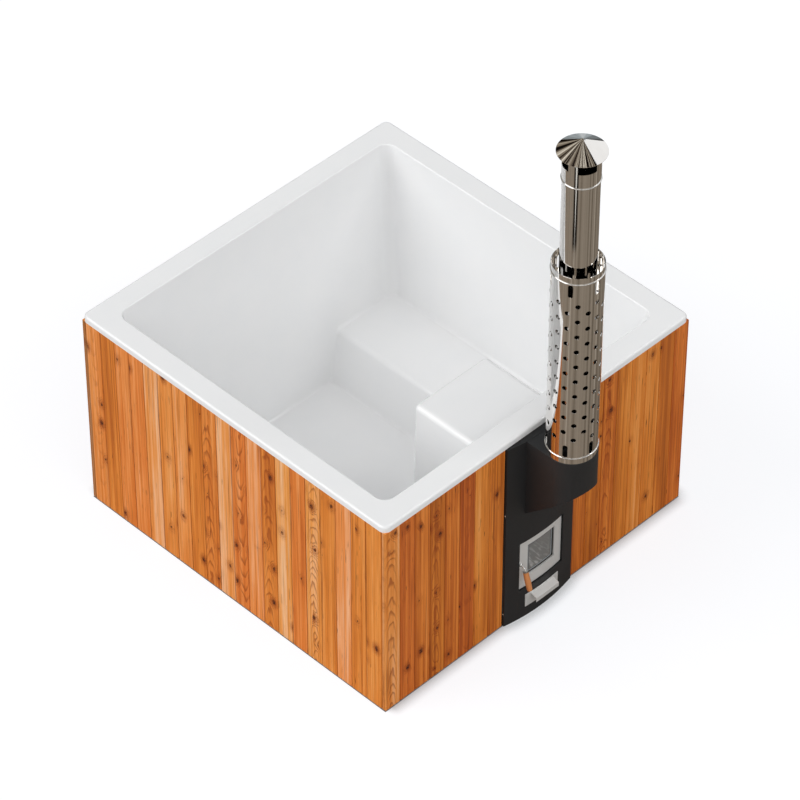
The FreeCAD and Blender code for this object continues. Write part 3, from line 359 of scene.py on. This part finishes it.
def moulded_gelcoat():
    # Gelcoat on moulded fibreglass: white and glossy, with a faint ripple and orange peel in its shine
    material, tree, shader, place = finish("gelcoat_moulded_white")
    ripple_length = 120 * mm
    peel_grain = 9 * mm         # drawn coarser than real orange peel, to show
    ripple_to_peel = 6.0
    roughness = (0.12, 0.2)
    ripple = add(tree, "ShaderNodeTexNoise", {"Vector": place, "Scale": 1 / ripple_length, "Detail": 2.0})
    peel = add(tree, "ShaderNodeTexNoise", {"Vector": place, "Scale": 1 / peel_grain, "Detail": 1.0})
    height = add(tree, "ShaderNodeMath", ripple, ripple_to_peel, peel, operation="MULTIPLY_ADD")
    bump = add(tree, "ShaderNodeBump", {"Strength": 0.05, "Distance": 1 * mm, "Height": height})
    tone = add(tree, "ShaderNodeMix", ripple, "#F4F5F6", "#F8F8F8", data_type="RGBA")
    gloss = add(tree, "ShaderNodeMapRange", ripple, noise_low, noise_high, *roughness)
    feed(tree, shader, {"Base Color": tone, "Roughness": gloss, "Normal": bump})
    return material


def stove_paint(name, dark, light, roughness, grain):
    """Heat-proof paint on steel: a fine pebbled skin with a cloudy, nearly even tone."""
    material, tree, shader, place = finish(name)
    cloud_size = 160 * mm
    dullest = roughness + 0.1
    pebble = add(tree, "ShaderNodeTexNoise", {"Vector": place, "Scale": 1 / grain, "Detail": 2.0})
    cloud = add(tree, "ShaderNodeTexNoise", {"Vector": place, "Scale": 1 / cloud_size, "Detail": 3.0})
    tone = add(tree, "ShaderNodeMix", cloud, dark, light, data_type="RGBA")
    gloss = add(tree, "ShaderNodeMapRange", cloud, noise_low, noise_high, roughness, dullest)
    bump = add(tree, "ShaderNodeBump", {"Strength": 0.08, "Distance": 0.2 * mm, "Height": pebble})
    feed(tree, shader, {"Base Color": tone, "Roughness": gloss, "Specular IOR Level": 0.35, "Normal": bump})
    return material


def steel(name, dark, light, roughness, stroke, metallic=1.0):
    """Bare steel. The stroke is the size in metres of its polishing or brushing marks along X, Y and Z.

    A blasted or etched skin scatters part of the light like paint does, so it is less than fully metallic.
    """
    material, tree, shader, place = finish(name)
    marks = add(tree, "ShaderNodeVectorMath", place, [1 / size for size in stroke], operation="MULTIPLY")
    marks = add(tree, "ShaderNodeTexNoise", {"Vector": marks, "Scale": 1.0, "Detail": 3.0})
    tone = add(tree, "ShaderNodeMix", marks, dark, light, data_type="RGBA")
    gloss = add(tree, "ShaderNodeMapRange", marks, noise_low, noise_high, *roughness)
    bump = add(tree, "ShaderNodeBump", {"Strength": 0.03, "Distance": 0.05 * mm, "Height": marks})
    feed(tree, shader, {"Base Color": tone, "Metallic": metallic, "Roughness": gloss, "Normal": bump})
    return material


def stove_glass():
    # Ceramic stove glass: smooth and grey, with a black printed border, painted shade and a painted
    # reflection of the frame along its edge, and a painted reflection in pale slanting strokes
    material, tree, shader, place = finish("ceramic_glass_with_painted_reflections")
    stroke_width = 12 * mm
    stroke_length = 60 * mm
    stroke_slant = math.radians(-54)
    streak_start, streak_full = 0.5, 0.64
    full_streak = 0.6
    clear_share, streaked_share = 0.3, 0.15
    hidden_edge = 7 * mm
    print_width = 6 * mm
    reflection_band_width = 7 * mm
    line_width = 2 * mm
    reflection_band_end = print_width + reflection_band_width
    line_end = reflection_band_end + line_width
    low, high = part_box("door_glass")
    x, _, z = add(tree, "ShaderNodeSeparateXYZ", place).outputs

    # The pale strokes, a painted reflection, are strongest at the lower left, and there the glass lets the
    # least light through
    turned = add(tree, "ShaderNodeMapping", {"Vector": place, "Rotation": (0.0, stroke_slant, 0.0)})
    stroke = (1 / stroke_length, 1.0, 1 / stroke_width)
    stroke = add(tree, "ShaderNodeVectorMath", turned, stroke, operation="MULTIPLY")
    streak_noise = add(tree, "ShaderNodeTexNoise", {"Vector": stroke, "Scale": 1.0, "Detail": 1.0})
    left = add(tree, "ShaderNodeMapRange", x, low.x, high.x, 1.0, 0.0)
    down = add(tree, "ShaderNodeMapRange", z, low.z, high.z, 1.0, 0.0)
    corner = add(tree, "ShaderNodeMath", left, down, operation="MULTIPLY")
    painted_streak = add(tree, "ShaderNodeMapRange", streak_noise, streak_start, streak_full, 0.0, 1.0)
    painted_streak = add(tree, "ShaderNodeMath", painted_streak, corner, operation="MULTIPLY")
    clearness = add(tree, "ShaderNodeMapRange", painted_streak, 0.0, full_streak, clear_share, streaked_share)
    colour = add(tree, "ShaderNodeMix", painted_streak, "#8E8E8C", "#D2D2D0", data_type="RGBA")

    # Bands along the edge, from the inside out: a dark line of painted shade, a pale band that is a painted
    # reflection of the frame, and the black print, drawn wide so that it also paints the shade inside the
    # frame's opening
    margins = []
    for value, start, end in ((x, low.x, high.x), (z, low.z, high.z)):
        away = add(tree, "ShaderNodeMath", value, (start + end) / 2, operation="SUBTRACT")
        away = add(tree, "ShaderNodeMath", away, operation="ABSOLUTE")
        seen_half = (end - start) / 2 - hidden_edge
        margins.append(add(tree, "ShaderNodeMath", seen_half, away, operation="SUBTRACT"))
    margin = add(tree, "ShaderNodeMath", *margins, operation="MINIMUM")
    for reach, tint in ((line_end, "#343538"), (reflection_band_end, "#868B8E"), (print_width, "#0C0C0D")):
        banded = add(tree, "ShaderNodeMath", margin, reach, operation="LESS_THAN")
        colour = add(tree, "ShaderNodeMix", banded, colour, tint, data_type="RGBA")
    inside = add(tree, "ShaderNodeMath", margin, line_end, operation="GREATER_THAN")
    clearness = add(tree, "ShaderNodeMath", clearness, inside, operation="MULTIPLY")
    feed(tree, shader, {"Base Color": colour, "Roughness": 0.05, "IOR": 1.52,
                        "Transmission Weight": clearness})
    return material


def plain_timber(name, pale, deep, grain_width, grain_length, roughness):
    """Softwood or turned wood without figure, with its grain along Z."""
    material, tree, shader, place = finish(name)
    scale = (1 / grain_width, 1 / grain_width, 1 / grain_length)
    stretched = add(tree, "ShaderNodeVectorMath", place, scale, operation="MULTIPLY")
    grain = add(tree, "ShaderNodeTexNoise", {"Vector": stretched, "Scale": 1.0, "Detail": 4.0})
    tone = add(tree, "ShaderNodeMix", grain, pale, deep, data_type="RGBA")
    bump = add(tree, "ShaderNodeBump", {"Strength": 0.2, "Distance": 0.4 * mm, "Height": grain})
    feed(tree, shader, {"Base Color": tone, "Roughness": roughness, "Normal": bump})
    return material


def cast_or_moulded(name, dark, light, roughness, grain, relief, metallic=0.0):
    """Cast iron, brass, rope, plastic or enamel, told apart by grain, relief and gloss."""
    material, tree, shader, place = finish(name)
    dullest = roughness + 0.08
    speck = add(tree, "ShaderNodeTexNoise", {"Vector": place, "Scale": 1 / grain, "Detail": 3.0})
    tone = add(tree, "ShaderNodeMix", speck, dark, light, data_type="RGBA")
    gloss = add(tree, "ShaderNodeMapRange", speck, noise_low, noise_high, roughness, dullest)
    bump = add(tree, "ShaderNodeBump", {"Strength": 0.3, "Distance": relief, "Height": speck})
    feed(tree, shader, {"Base Color": tone, "Metallic": metallic, "Roughness": gloss, "Normal": bump})
    return material


# Grains of paint, cast metal and rope are drawn coarser than real, so that they show
finishes = {
    "white_gelcoat": moulded_gelcoat(),
    "cladding_wood": planed_and_oiled_larch(),
    "stove_glass": stove_glass(),
    # Sawn spruce: pale straw with long brown grain and a rough, dull skin
    "frame_timber": plain_timber("spruce_sawn", "#C9A877", "#A98350", 3 * mm, 140 * mm, 0.75),
    # Turned and oiled beech: warm tan with short grain and a silky sheen
    "grip_wood": plain_timber("beech_turned_and_oiled", "#DC945A", "#C6783E", 3 * mm, 40 * mm, 0.45),
    # Satin black paint: an even near-black with a soft sheen on level faces
    "black_steel": stove_paint("steel_painted_satin_black", "#202021", "#2A2A2B", 0.5, 2.5 * mm),
    # Dull black paint: browner and flatter, as on parts that get hot
    "stove_steel": stove_paint("steel_painted_dull_black", "#1E1C1A", "#2B2825", 0.6, 4 * mm),
    # Mirror-polished stainless steel: sharp reflections of the room, with hardly a mark in them
    "polished_stainless": steel("stainless_mirror_polished", "#E6E4E1", "#EEECEA", (0.03, 0.07),
                                (30 * mm, 30 * mm, 30 * mm)),
    # Blasted stainless steel: pale grey with a blurred shine and faint level marks
    "satin_stainless": steel("stainless_blasted_satin", "#DADAD8", "#E6E6E4", (0.3, 0.42),
                             (40 * mm, 2 * mm, 2 * mm), 0.35),
    # Bright drawn stainless steel: thin crisp lights along rods and on screw heads
    "bright_rod": steel("stainless_drawn_bright", "#E4E4E2", "#F2F2F0", (0.12, 0.22),
                        (2 * mm, 2 * mm, 30 * mm), 0.7),
    # Zinc plate: cool grey with small mottled patches of shine
    "zinc_steel": steel("steel_zinc_plated", "#A9A9A8", "#C4C4C2", (0.25, 0.4), (6 * mm, 6 * mm, 6 * mm)),
    # Drawn steel tube: darker grey with a dull shine drawn out along the tube
    "pipe_steel": steel("steel_drawn_tube", "#8B8883", "#A09D97", (0.3, 0.45), (3 * mm, 60 * mm, 3 * mm)),
    # Sand-cast iron: dark brown-grey, grainy, with a faint shine of metal
    "cast_iron": cast_or_moulded("iron_sand_cast", "#24211E", "#3B3733", 0.65, 3 * mm, 0.5 * mm, 0.4),
    # Cast and turned brass: yellow metal with a slightly broken shine
    "valve_brass": cast_or_moulded("brass_cast_and_turned", "#B08A3E", "#C9A558", 0.28, 5 * mm,
                                   0.1 * mm, 1.0),
    # Braided glass rope: mid grey, knobbly and dull
    "seal_rope": cast_or_moulded("glass_rope_braided", "#5B5751", "#7B766D", 0.8, 2 * mm, 1 * mm),
    # Moulded plastic: an even pale grey with a soft shine
    "pipe_plastic": cast_or_moulded("plastic_moulded_grey", "#B8B9BA", "#C6C7C8", 0.35, 4 * mm, 0.1 * mm),
    # Gloss enamel: deep red with small bright lights
    "lever_enamel": cast_or_moulded("enamel_gloss_red", "#8E1A14", "#A3221A", 0.2, 8 * mm, 0.1 * mm),
}


def boards_tree():
    """Geometry Nodes: a wall of chamfered boards, tongued together, each with its own random draw."""
    tree = bpy.data.node_groups.new("cladding_boards", "GeometryNodeTree")
    sizes = (("Count", "Int"), ("Pitch", "Float"), ("Seam", "Float"), ("Thickness", "Float"),
             ("Height", "Float"), ("Chamfer", "Float"), ("Tongue Length", "Float"),
             ("Tongue Thickness", "Float"), ("Paleness", "Float"), ("Tone Spread", "Float"),
             ("Start", "Vector"), ("Turn", "Vector"), ("Seed", "Int"), ("Finish", "Material"))
    for name, kind in sizes:
        tree.interface.new_socket(name, in_out="INPUT", socket_type="NodeSocket" + kind)
    tree.interface.new_socket("Geometry", in_out="OUTPUT", socket_type="NodeSocketGeometry")
    given = add(tree, "NodeGroupInput").outputs
    joined_points = 0.01 * mm

    # One board: a chamfered section, drawn up to its height and closed at the foot
    width = add(tree, "ShaderNodeMath", given["Pitch"], given["Seam"], operation="SUBTRACT")
    rise = add(tree, "ShaderNodeCombineXYZ", 0.0, 0.0, given["Height"])
    section = add(tree, "GeometryNodeCurvePrimitiveQuadrilateral", width, given["Thickness"])
    chamfered = {"Curve": section, "Count": 1, "Radius": given["Chamfer"]}
    section = add(tree, "GeometryNodeFilletCurve", chamfered, mode="POLY")
    foot = add(tree, "GeometryNodeFillCurve", {"Curve": section}, mode="NGONS")
    drawn_up = {"Mesh": foot, "Offset": rise, "Individual": False}
    sides = add(tree, "GeometryNodeExtrudeMesh", drawn_up, mode="FACES")
    under = add(tree, "GeometryNodeFlipFaces", foot)
    closed = add(tree, "GeometryNodeJoinGeometry")
    for faces in (sides, under):
        feed(tree, closed, {0: faces})
    board = add(tree, "GeometryNodeMergeByDistance", {"Geometry": closed, "Distance": joined_points})

    # Its tongue, which closes the seam to the next board
    tongue_width = add(tree, "ShaderNodeMath", given["Tongue Length"], given["Seam"], operation="ADD")
    tongue_size = add(tree, "ShaderNodeCombineXYZ", tongue_width, given["Tongue Thickness"],
                      given["Height"])
    tongue = add(tree, "GeometryNodeMeshCube", tongue_size)
    lift = add(tree, "ShaderNodeMath", given["Height"], 0.5, operation="MULTIPLY")
    reach = add(tree, "ShaderNodeMath", given["Pitch"], 0.5, operation="MULTIPLY")
    tongue_place = add(tree, "ShaderNodeCombineXYZ", reach, 0.0, lift)
    tongue = add(tree, "GeometryNodeTransform", {"Geometry": tongue, "Translation": tongue_place})

    # A point for each board along X, which carries the board's random draw
    step = add(tree, "ShaderNodeCombineXYZ", given["Pitch"], 0.0, 0.0)
    row = add(tree, "GeometryNodeMeshLine", {"Count": given["Count"], "Offset": step}, mode="OFFSET")
    least = add(tree, "ShaderNodeCombineXYZ", 0.0, 0.0, given["Paleness"])
    palest = add(tree, "ShaderNodeMath", given["Paleness"], given["Tone Spread"], operation="ADD")
    most = add(tree, "ShaderNodeCombineXYZ", 1.0, 1.0, palest)
    draw = add(tree, "FunctionNodeRandomValue", {"Min": least, "Max": most, "Seed": given["Seed"]},
               data_type="FLOAT_VECTOR")
    drawn = {"Geometry": row, "Name": "board_luck", "Value": draw}
    row = add(tree, "GeometryNodeStoreNamedAttribute", drawn, data_type="FLOAT_VECTOR", domain="POINT")

    # The wall: boards, and tongues on all but the last, then turned and carried to its place
    local = add(tree, "GeometryNodeInputPosition")
    index = add(tree, "GeometryNodeInputIndex")
    between_last_two = add(tree, "ShaderNodeMath", given["Count"], 1.5, operation="SUBTRACT")
    before_last = add(tree, "FunctionNodeCompare", index, between_last_two, data_type="FLOAT",
                      operation="LESS_THAN")
    wall = add(tree, "GeometryNodeJoinGeometry")
    for piece, chosen in ((board, {}), (tongue, {"Selection": before_last})):
        placed = {"Geometry": piece, "Name": "board_place", "Value": local}
        marked = add(tree, "GeometryNodeStoreNamedAttribute", placed, data_type="FLOAT_VECTOR",
                     domain="POINT")
        copies = add(tree, "GeometryNodeInstanceOnPoints", {"Points": row, "Instance": marked, **chosen})
        feed(tree, wall, {0: copies})
    carried = {"Geometry": wall, "Translation": given["Start"], "Rotation": given["Turn"]}
    solid = add(tree, "GeometryNodeTransform", carried)
    solid = add(tree, "GeometryNodeRealizeInstances", solid)
    solid = add(tree, "GeometryNodeSetMaterial", {"Geometry": solid, "Material": given["Finish"]})
    add(tree, "NodeGroupOutput", solid)
    return tree


def settle(piece, node):
    """Let a finished piece stand for a node of the frame: it goes on the node's body, and the node is
    hidden.
    """
    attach(piece, body_of[node])
    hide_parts(node)


def clad(tree, node, along, paleness, seed):
    """One wall of boards in the place of a cladding node. Along is its long axis, 0 for X or 1 for Y.

    Paleness is the darkest board's place among the wood's tones. It is partly each wall's own tone and
    partly painted light: the lit left wall is drawn paler and the shaded front walls darker.
    """
    low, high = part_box(node)
    run = high[along] - low[along]
    count = round(run / board_width)
    pitch = run / count
    middle = (low + high) / 2
    start = Vector((middle.x, middle.y, low.z))
    start[along] = low[along] + pitch / 2
    sizes = {
        "Count": count,
        "Pitch": pitch,
        "Seam": board_seam,
        "Thickness": high[1 - along] - low[1 - along],
        "Height": high.z - low.z,
        "Chamfer": board_chamfer,
        "Tongue Length": tongue_length,
        "Tongue Thickness": tongue_thickness,
        "Paleness": paleness,
        "Tone Spread": tone_spread,
        "Start": start,
        "Turn": (0.0, 0.0, math.radians(90) * along),
        "Seed": seed,
        "Finish": finishes["cladding_wood"],
    }
    maker = bpy.data.objects.new(node + "_maker", bpy.data.meshes.new(node + "_maker"))
    scene.collection.objects.link(maker)
    modifier = maker.modifiers.new("boards", "NODES")
    modifier.node_group = tree
    for item in tree.interface.items_tree:
        if item.in_out == "INPUT":
            modifier[item.identifier] = sizes[item.name]
    evaluated = maker.evaluated_get(bpy.context.evaluated_depsgraph_get())
    mesh = bpy.data.meshes.new_from_object(evaluated)
    bpy.data.objects.remove(maker)
    piece = bpy.data.objects.new(node + "_boards", mesh)
    scene.collection.objects.link(piece)
    settle(piece, node)


def welded_copy(node):
    """A copy of a node's mesh with its triangles joined, as a new piece that can stand for the node."""
    mesh = frame["nodes"][node].data.copy()
    form = bmesh.new()
    form.from_mesh(mesh)
    bmesh.ops.remove_doubles(form, verts=form.verts, dist=doubled_points)
    form.to_mesh(mesh)
    form.free()
    mesh.materials.clear()
    mesh.materials.append(finishes[own_finish.get(node, slot_of[node])])
    piece = bpy.data.objects.new(node + "_finished", mesh)
    scene.collection.objects.link(piece)
    return piece


def turned_piece(node):
    """A polished piece of the chimney: faces of revolution get true normals, so reflections run clean."""
    piece = welded_copy(node)
    mesh = piece.data
    mesh.shade_smooth()
    axis = Vector((chimney_axis.x, chimney_axis.y, 0.0))
    radial_share = 0.9
    least_slope = 0.01
    normals = [None] * len(mesh.loops)
    for polygon in mesh.polygons:
        facet = polygon.normal
        level = math.sqrt(max(0.0, 1.0 - facet.z ** 2))
        outward = (polygon.center - axis) * Vector((1, 1, 0))
        side = facet.dot(outward.normalized())
        turned = abs(side) > radial_share * level and level > least_slope
        for loop in polygon.loop_indices:
            point = mesh.vertices[mesh.loops[loop].vertex_index].co
            radial = ((point - axis) * Vector((1, 1, 0))).normalized()
            true = radial * math.copysign(level, side) + Vector((0, 0, facet.z))
            normals[loop] = true if turned else facet
    mesh.normals_split_custom_set(normals)
    settle(piece, node)


def rounded_piece(node, broken_edge=0.0):
    """A moulded or bent piece: smooth over its round edges, with its broad faces kept flat.

    A cut sheet has its sharp edges broken by a small round, which catches a thin line of light.
    """
    piece = welded_copy(node)
    mesh = piece.data
    mesh.shade_smooth()
    mesh.set_sharp_from_angle(angle=smooth_angle)
    if broken_edge:
        bevel = piece.modifiers.new("broken_edges", "BEVEL")
        bevel.width = broken_edge
        bevel.segments = 2
        bevel.limit_method = "ANGLE"
        bevel.angle_limit = cut_angle
        bevel.harden_normals = True
    else:
        weight = piece.modifiers.new("flat_faces", "WEIGHTED_NORMAL")
        weight.keep_sharp = True
    evaluated = piece.evaluated_get(bpy.context.evaluated_depsgraph_get())
    flat = bpy.data.meshes.new_from_object(evaluated)
    piece.modifiers.clear()
    piece.data = flat
    settle(piece, node)


def floor_in_steel(tree, place):
    """The floor as polished steel mirrors it: warm grey with streaks that run out from the chimney."""
    streak_scale = 5.0
    haze_start, haze_end = 3.5, 6.0
    haze_share = 0.75
    stands_middle = math.radians(-165)
    stands_dark, stands_end = math.radians(9), math.radians(17)
    stands_near, stands_full = 2.36, 2.42
    gap_near, gap_far = 2.45, 3.0
    gap_narrow, gap_wide = math.radians(0.5), math.radians(5)
    out = (chimney_axis.x, chimney_axis.y, 0.0)
    out = add(tree, "ShaderNodeVectorMath", place, out, operation="SUBTRACT")
    far = add(tree, "ShaderNodeVectorMath", out, operation="LENGTH").outputs["Value"]
    around = add(tree, "ShaderNodeVectorMath", out, operation="NORMALIZE")
    streak = add(tree, "ShaderNodeTexNoise", {"Vector": around, "Scale": streak_scale, "Detail": 4.0})
    room = add(tree, "ShaderNodeValToRGB", streak,
               stops=((0.30, "#423C34"), (0.74, "#C8C0B4"), (0.40, "#84796B"), (0.60, "#968B7D")))

    # Far off the floor goes blue-grey, which the far side of the rain cone mirrors
    distant = add(tree, "ShaderNodeMapRange", far, haze_start, haze_end, 0.0, haze_share)
    haze = add(tree, "ShaderNodeValToRGB", streak,
               stops=((0.34, "#3C4347"), (0.66, "#E2EAEE"), (0.46, "#8E9AA1"), (0.56, "#B4C0C7")))
    room = add(tree, "ShaderNodeMix", distant, room, haze, data_type="RGBA")

    # Two dark stands with a bright gap, which the pipe above the guard mirrors as dark and bright streaks
    x, y, _ = add(tree, "ShaderNodeSeparateXYZ", around).outputs
    turn = add(tree, "ShaderNodeMath", y, x, operation="ARCTAN2")
    turn = add(tree, "ShaderNodeMath", turn, stands_middle, operation="SUBTRACT")
    turn = add(tree, "ShaderNodeMath", turn, operation="ABSOLUTE")
    stands = add(tree, "ShaderNodeMapRange", turn, stands_dark, stands_end, 1.0, 0.0)
    gap_half = add(tree, "ShaderNodeMapRange", far, gap_near, gap_far, gap_narrow, gap_wide)
    gap = add(tree, "ShaderNodeMath", turn, gap_half, operation="LESS_THAN")
    beyond = add(tree, "ShaderNodeMapRange", far, stands_near, stands_full, 0.0, 1.0)
    for form, tint in ((stands, "#1C1815"), (gap, "#E0DED8")):
        seen = add(tree, "ShaderNodeMath", form, beyond, operation="MULTIPLY")
        room = add(tree, "ShaderNodeMix", seen, room, tint, data_type="RGBA")
    return room


def floor_glow(tree, place):
    """How white the camera sees the floor: less close to the shaded walls, and not at all under the tub."""
    contact_reach = 60 * mm
    side_blend = 40 * mm
    open_glow = 0.81
    contact_glow = 0.3
    wall_foot = 0.5             # share of open air at the foot of a wall
    left_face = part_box("cladding_left")[0].x
    right_face, back_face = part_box("cladding_back")[1].xy
    front_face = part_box("cladding_front_left")[0].y
    x, y, _ = add(tree, "ShaderNodeSeparateXYZ", place).outputs
    shaded_side = add(tree, "ShaderNodeMapRange", x, left_face, left_face + side_blend, 0.0, 1.0)
    open_air = add(tree, "ShaderNodeAmbientOcclusion", {"Distance": contact_reach}, samples=8).outputs["AO"]
    contact = add(tree, "ShaderNodeMapRange", open_air, wall_foot, 1.0, shaded_side, 0.0)
    glow = add(tree, "ShaderNodeMapRange", contact, 0.0, 1.0, open_glow, contact_glow)
    outside = []
    for value, low, high in ((x, left_face, right_face), (y, front_face, back_face)):
        away = add(tree, "ShaderNodeMath", value, (low + high) / 2, operation="SUBTRACT")
        away = add(tree, "ShaderNodeMath", away, operation="ABSOLUTE")
        outside.append(add(tree, "ShaderNodeMath", away, (high - low) / 2, operation="GREATER_THAN"))
    beside = add(tree, "ShaderNodeMath", *outside, operation="MAXIMUM")
    return add(tree, "ShaderNodeMath", glow, beside, operation="MULTIPLY")


def studio_floor():
    # White matt paint: the camera sees it white with a weak shadow, and the part's own light sees it grey
    material, tree, shader, place = finish("floor_painted_white")
    floor_half = 30.0
    floor_level = -0.5 * mm
    signs = ((-1, -1), (1, -1), (1, 1), (-1, 1))
    corners = [(x * floor_half, y * floor_half, floor_level) for x, y in signs]
    mesh = bpy.data.meshes.new("studio_floor")
    mesh.from_pydata(corners, [], [(0, 1, 2, 3)])
    mesh.materials.append(material)
    floor = bpy.data.objects.new("studio_floor", mesh)
    scene.collection.objects.link(floor)
    path = add(tree, "ShaderNodeLightPath").outputs
    mirrored = floor_in_steel(tree, place)
    plain = add(tree, "ShaderNodeMix", path["Is Camera Ray"], "#CACACA", "#94918F", data_type="RGBA")
    tone = add(tree, "ShaderNodeMix", path["Is Glossy Ray"], plain, mirrored, data_type="RGBA")
    glow = floor_glow(tree, place)
    glow = add(tree, "ShaderNodeMath", path["Is Camera Ray"], glow, operation="MULTIPLY")
    feed(tree, shader, {"Base Color": tone, "Roughness": 0.9, "Specular IOR Level": 0.0,
                        "Emission Color": "#F8FBFF", "Emission Strength": glow})


def compass(degrees):
    """A level direction, counted from +X towards +Y."""
    return math.cos(math.radians(degrees)), math.sin(math.radians(degrees)), 0.0


def studio_room():
    """The world: white to the camera, an even sky for the part, and a warm grey room to polished steel."""
    streak_scale = 6.5
    bright_wall = compass(-8)
    frame_angles = (40, 37)
    wall_angles = (34, 33.5)
    panel = Vector((0.514, 0.514, 0.687)).normalized()
    panel_angles = (34, 22)
    camera_side = compass(225)
    camera_side_share = -0.17
    low_wall_top = 0.6
    world = bpy.data.worlds.new("studio")
    scene.world = world
    world.use_nodes = True
    tree = world.node_tree
    background = next(node for node in tree.nodes if node.type == "BACKGROUND")
    direction = add(tree, "ShaderNodeTexCoord").outputs["Generated"]
    level = add(tree, "ShaderNodeVectorMath", direction, (1.0, 1.0, 0.0), operation="MULTIPLY")
    level = add(tree, "ShaderNodeVectorMath", level, operation="NORMALIZE")
    streak = add(tree, "ShaderNodeTexNoise", {"Vector": level, "Scale": streak_scale, "Detail": 4.0})
    room = add(tree, "ShaderNodeValToRGB", streak, stops=(
        (0.42, "#0E0A08"), (0.60, "#F2EADC"), (0.46, "#3A3029"), (0.50, "#7A6F61"), (0.55, "#A09585")))

    # A bright wall in a dark frame at the right, and a soft panel high up at the far side, which the level
    # black plates and the white rim mirror. Each fades in between two angles from its middle, in degrees.
    for seen, middle, (outer, inner), tint in ((level, bright_wall, frame_angles, "#14100E"),
                                               (level, bright_wall, wall_angles, "#FFFFFF"),
                                               (direction, panel, panel_angles, "#A4AAAD")):
        facing = add(tree, "ShaderNodeVectorMath", seen, middle, operation="DOT_PRODUCT").outputs["Value"]
        facing = add(tree, "ShaderNodeMapRange", facing, math.cos(math.radians(outer)),
                     math.cos(math.radians(inner)), 0.0, 1.0)
        room = add(tree, "ShaderNodeMix", facing, room, tint, data_type="RGBA")

    # A low bright wall behind the camera draws the thin lights on beads and rounded edges
    facing = add(tree, "ShaderNodeVectorMath", level, camera_side, operation="DOT_PRODUCT").outputs["Value"]
    facing = add(tree, "ShaderNodeMath", facing, camera_side_share, operation="GREATER_THAN")
    height = add(tree, "ShaderNodeSeparateXYZ", direction).outputs["Z"]
    low_wall = add(tree, "ShaderNodeMath", height, low_wall_top, operation="LESS_THAN")
    low_wall = add(tree, "ShaderNodeMath", low_wall, facing, operation="MULTIPLY")
    room = add(tree, "ShaderNodeMix", low_wall, room, "#FFFFFF", data_type="RGBA")

    # The camera, mirrors and glass see the backdrop at full strength, the part is lit by a weaker sky
    path = add(tree, "ShaderNodeLightPath").outputs
    colour = add(tree, "ShaderNodeMix", path["Is Glossy Ray"], "#FFFFFF", room, data_type="RGBA")
    seen = add(tree, "ShaderNodeMath", path["Is Camera Ray"], path["Is Glossy Ray"], operation="ADD")
    seen = add(tree, "ShaderNodeMath", seen, path["Is Transmission Ray"], operation="ADD", use_clamp=True)
    strength = add(tree, "ShaderNodeMapRange", seen, 0.0, 1.0, sky_strength, 1.0)
    feed(tree, background, {"Color": colour, "Strength": strength})


def studio_lamps():
    """The lamps of the table above, as far-off suns that shine from their direction."""
    for name, (strength, spread, towards, mirrored) in lamps.items():
        light = bpy.data.lights.new(name, "SUN")
        light.energy = strength
        light.angle = math.radians(spread)
        lamp = bpy.data.objects.new(name, light)
        lamp.rotation_euler = Vector(towards).to_track_quat("Z", "Y").to_euler()
        lamp.visible_glossy = mirrored
        scene.collection.objects.link(lamp)


def photograph_camera():
    """The camera where the photograph was taken from, with the tub framed as it is there."""
    lens = bpy.data.cameras.new("photograph")
    lens.lens = camera_lens
    lens.clip_end = camera_reach
    camera = bpy.data.objects.new("photograph", lens)
    camera.location = camera_eye
    camera.rotation_euler = (camera_aim - camera_eye).to_track_quat("-Z", "Y").to_euler()
    scene.collection.objects.link(camera)
    scene.camera = camera


boards = boards_tree()
for node, (along, paleness, seed) in clad_walls.items():
    clad(boards, node, along, paleness, seed)
for node in turned_nodes:
    turned_piece(node)
for node in moulded_nodes:
    rounded_piece(node)
for node in cut_sheet_nodes:
    rounded_piece(node, sheet_edge)
for name, node in frame["nodes"].items():
    node.data.materials.clear()
    node.data.materials.append(finishes[slot_of[name]])

studio_floor()
studio_room()
studio_lamps()
photograph_camera()
scene.view_settings.view_transform = "Standard"
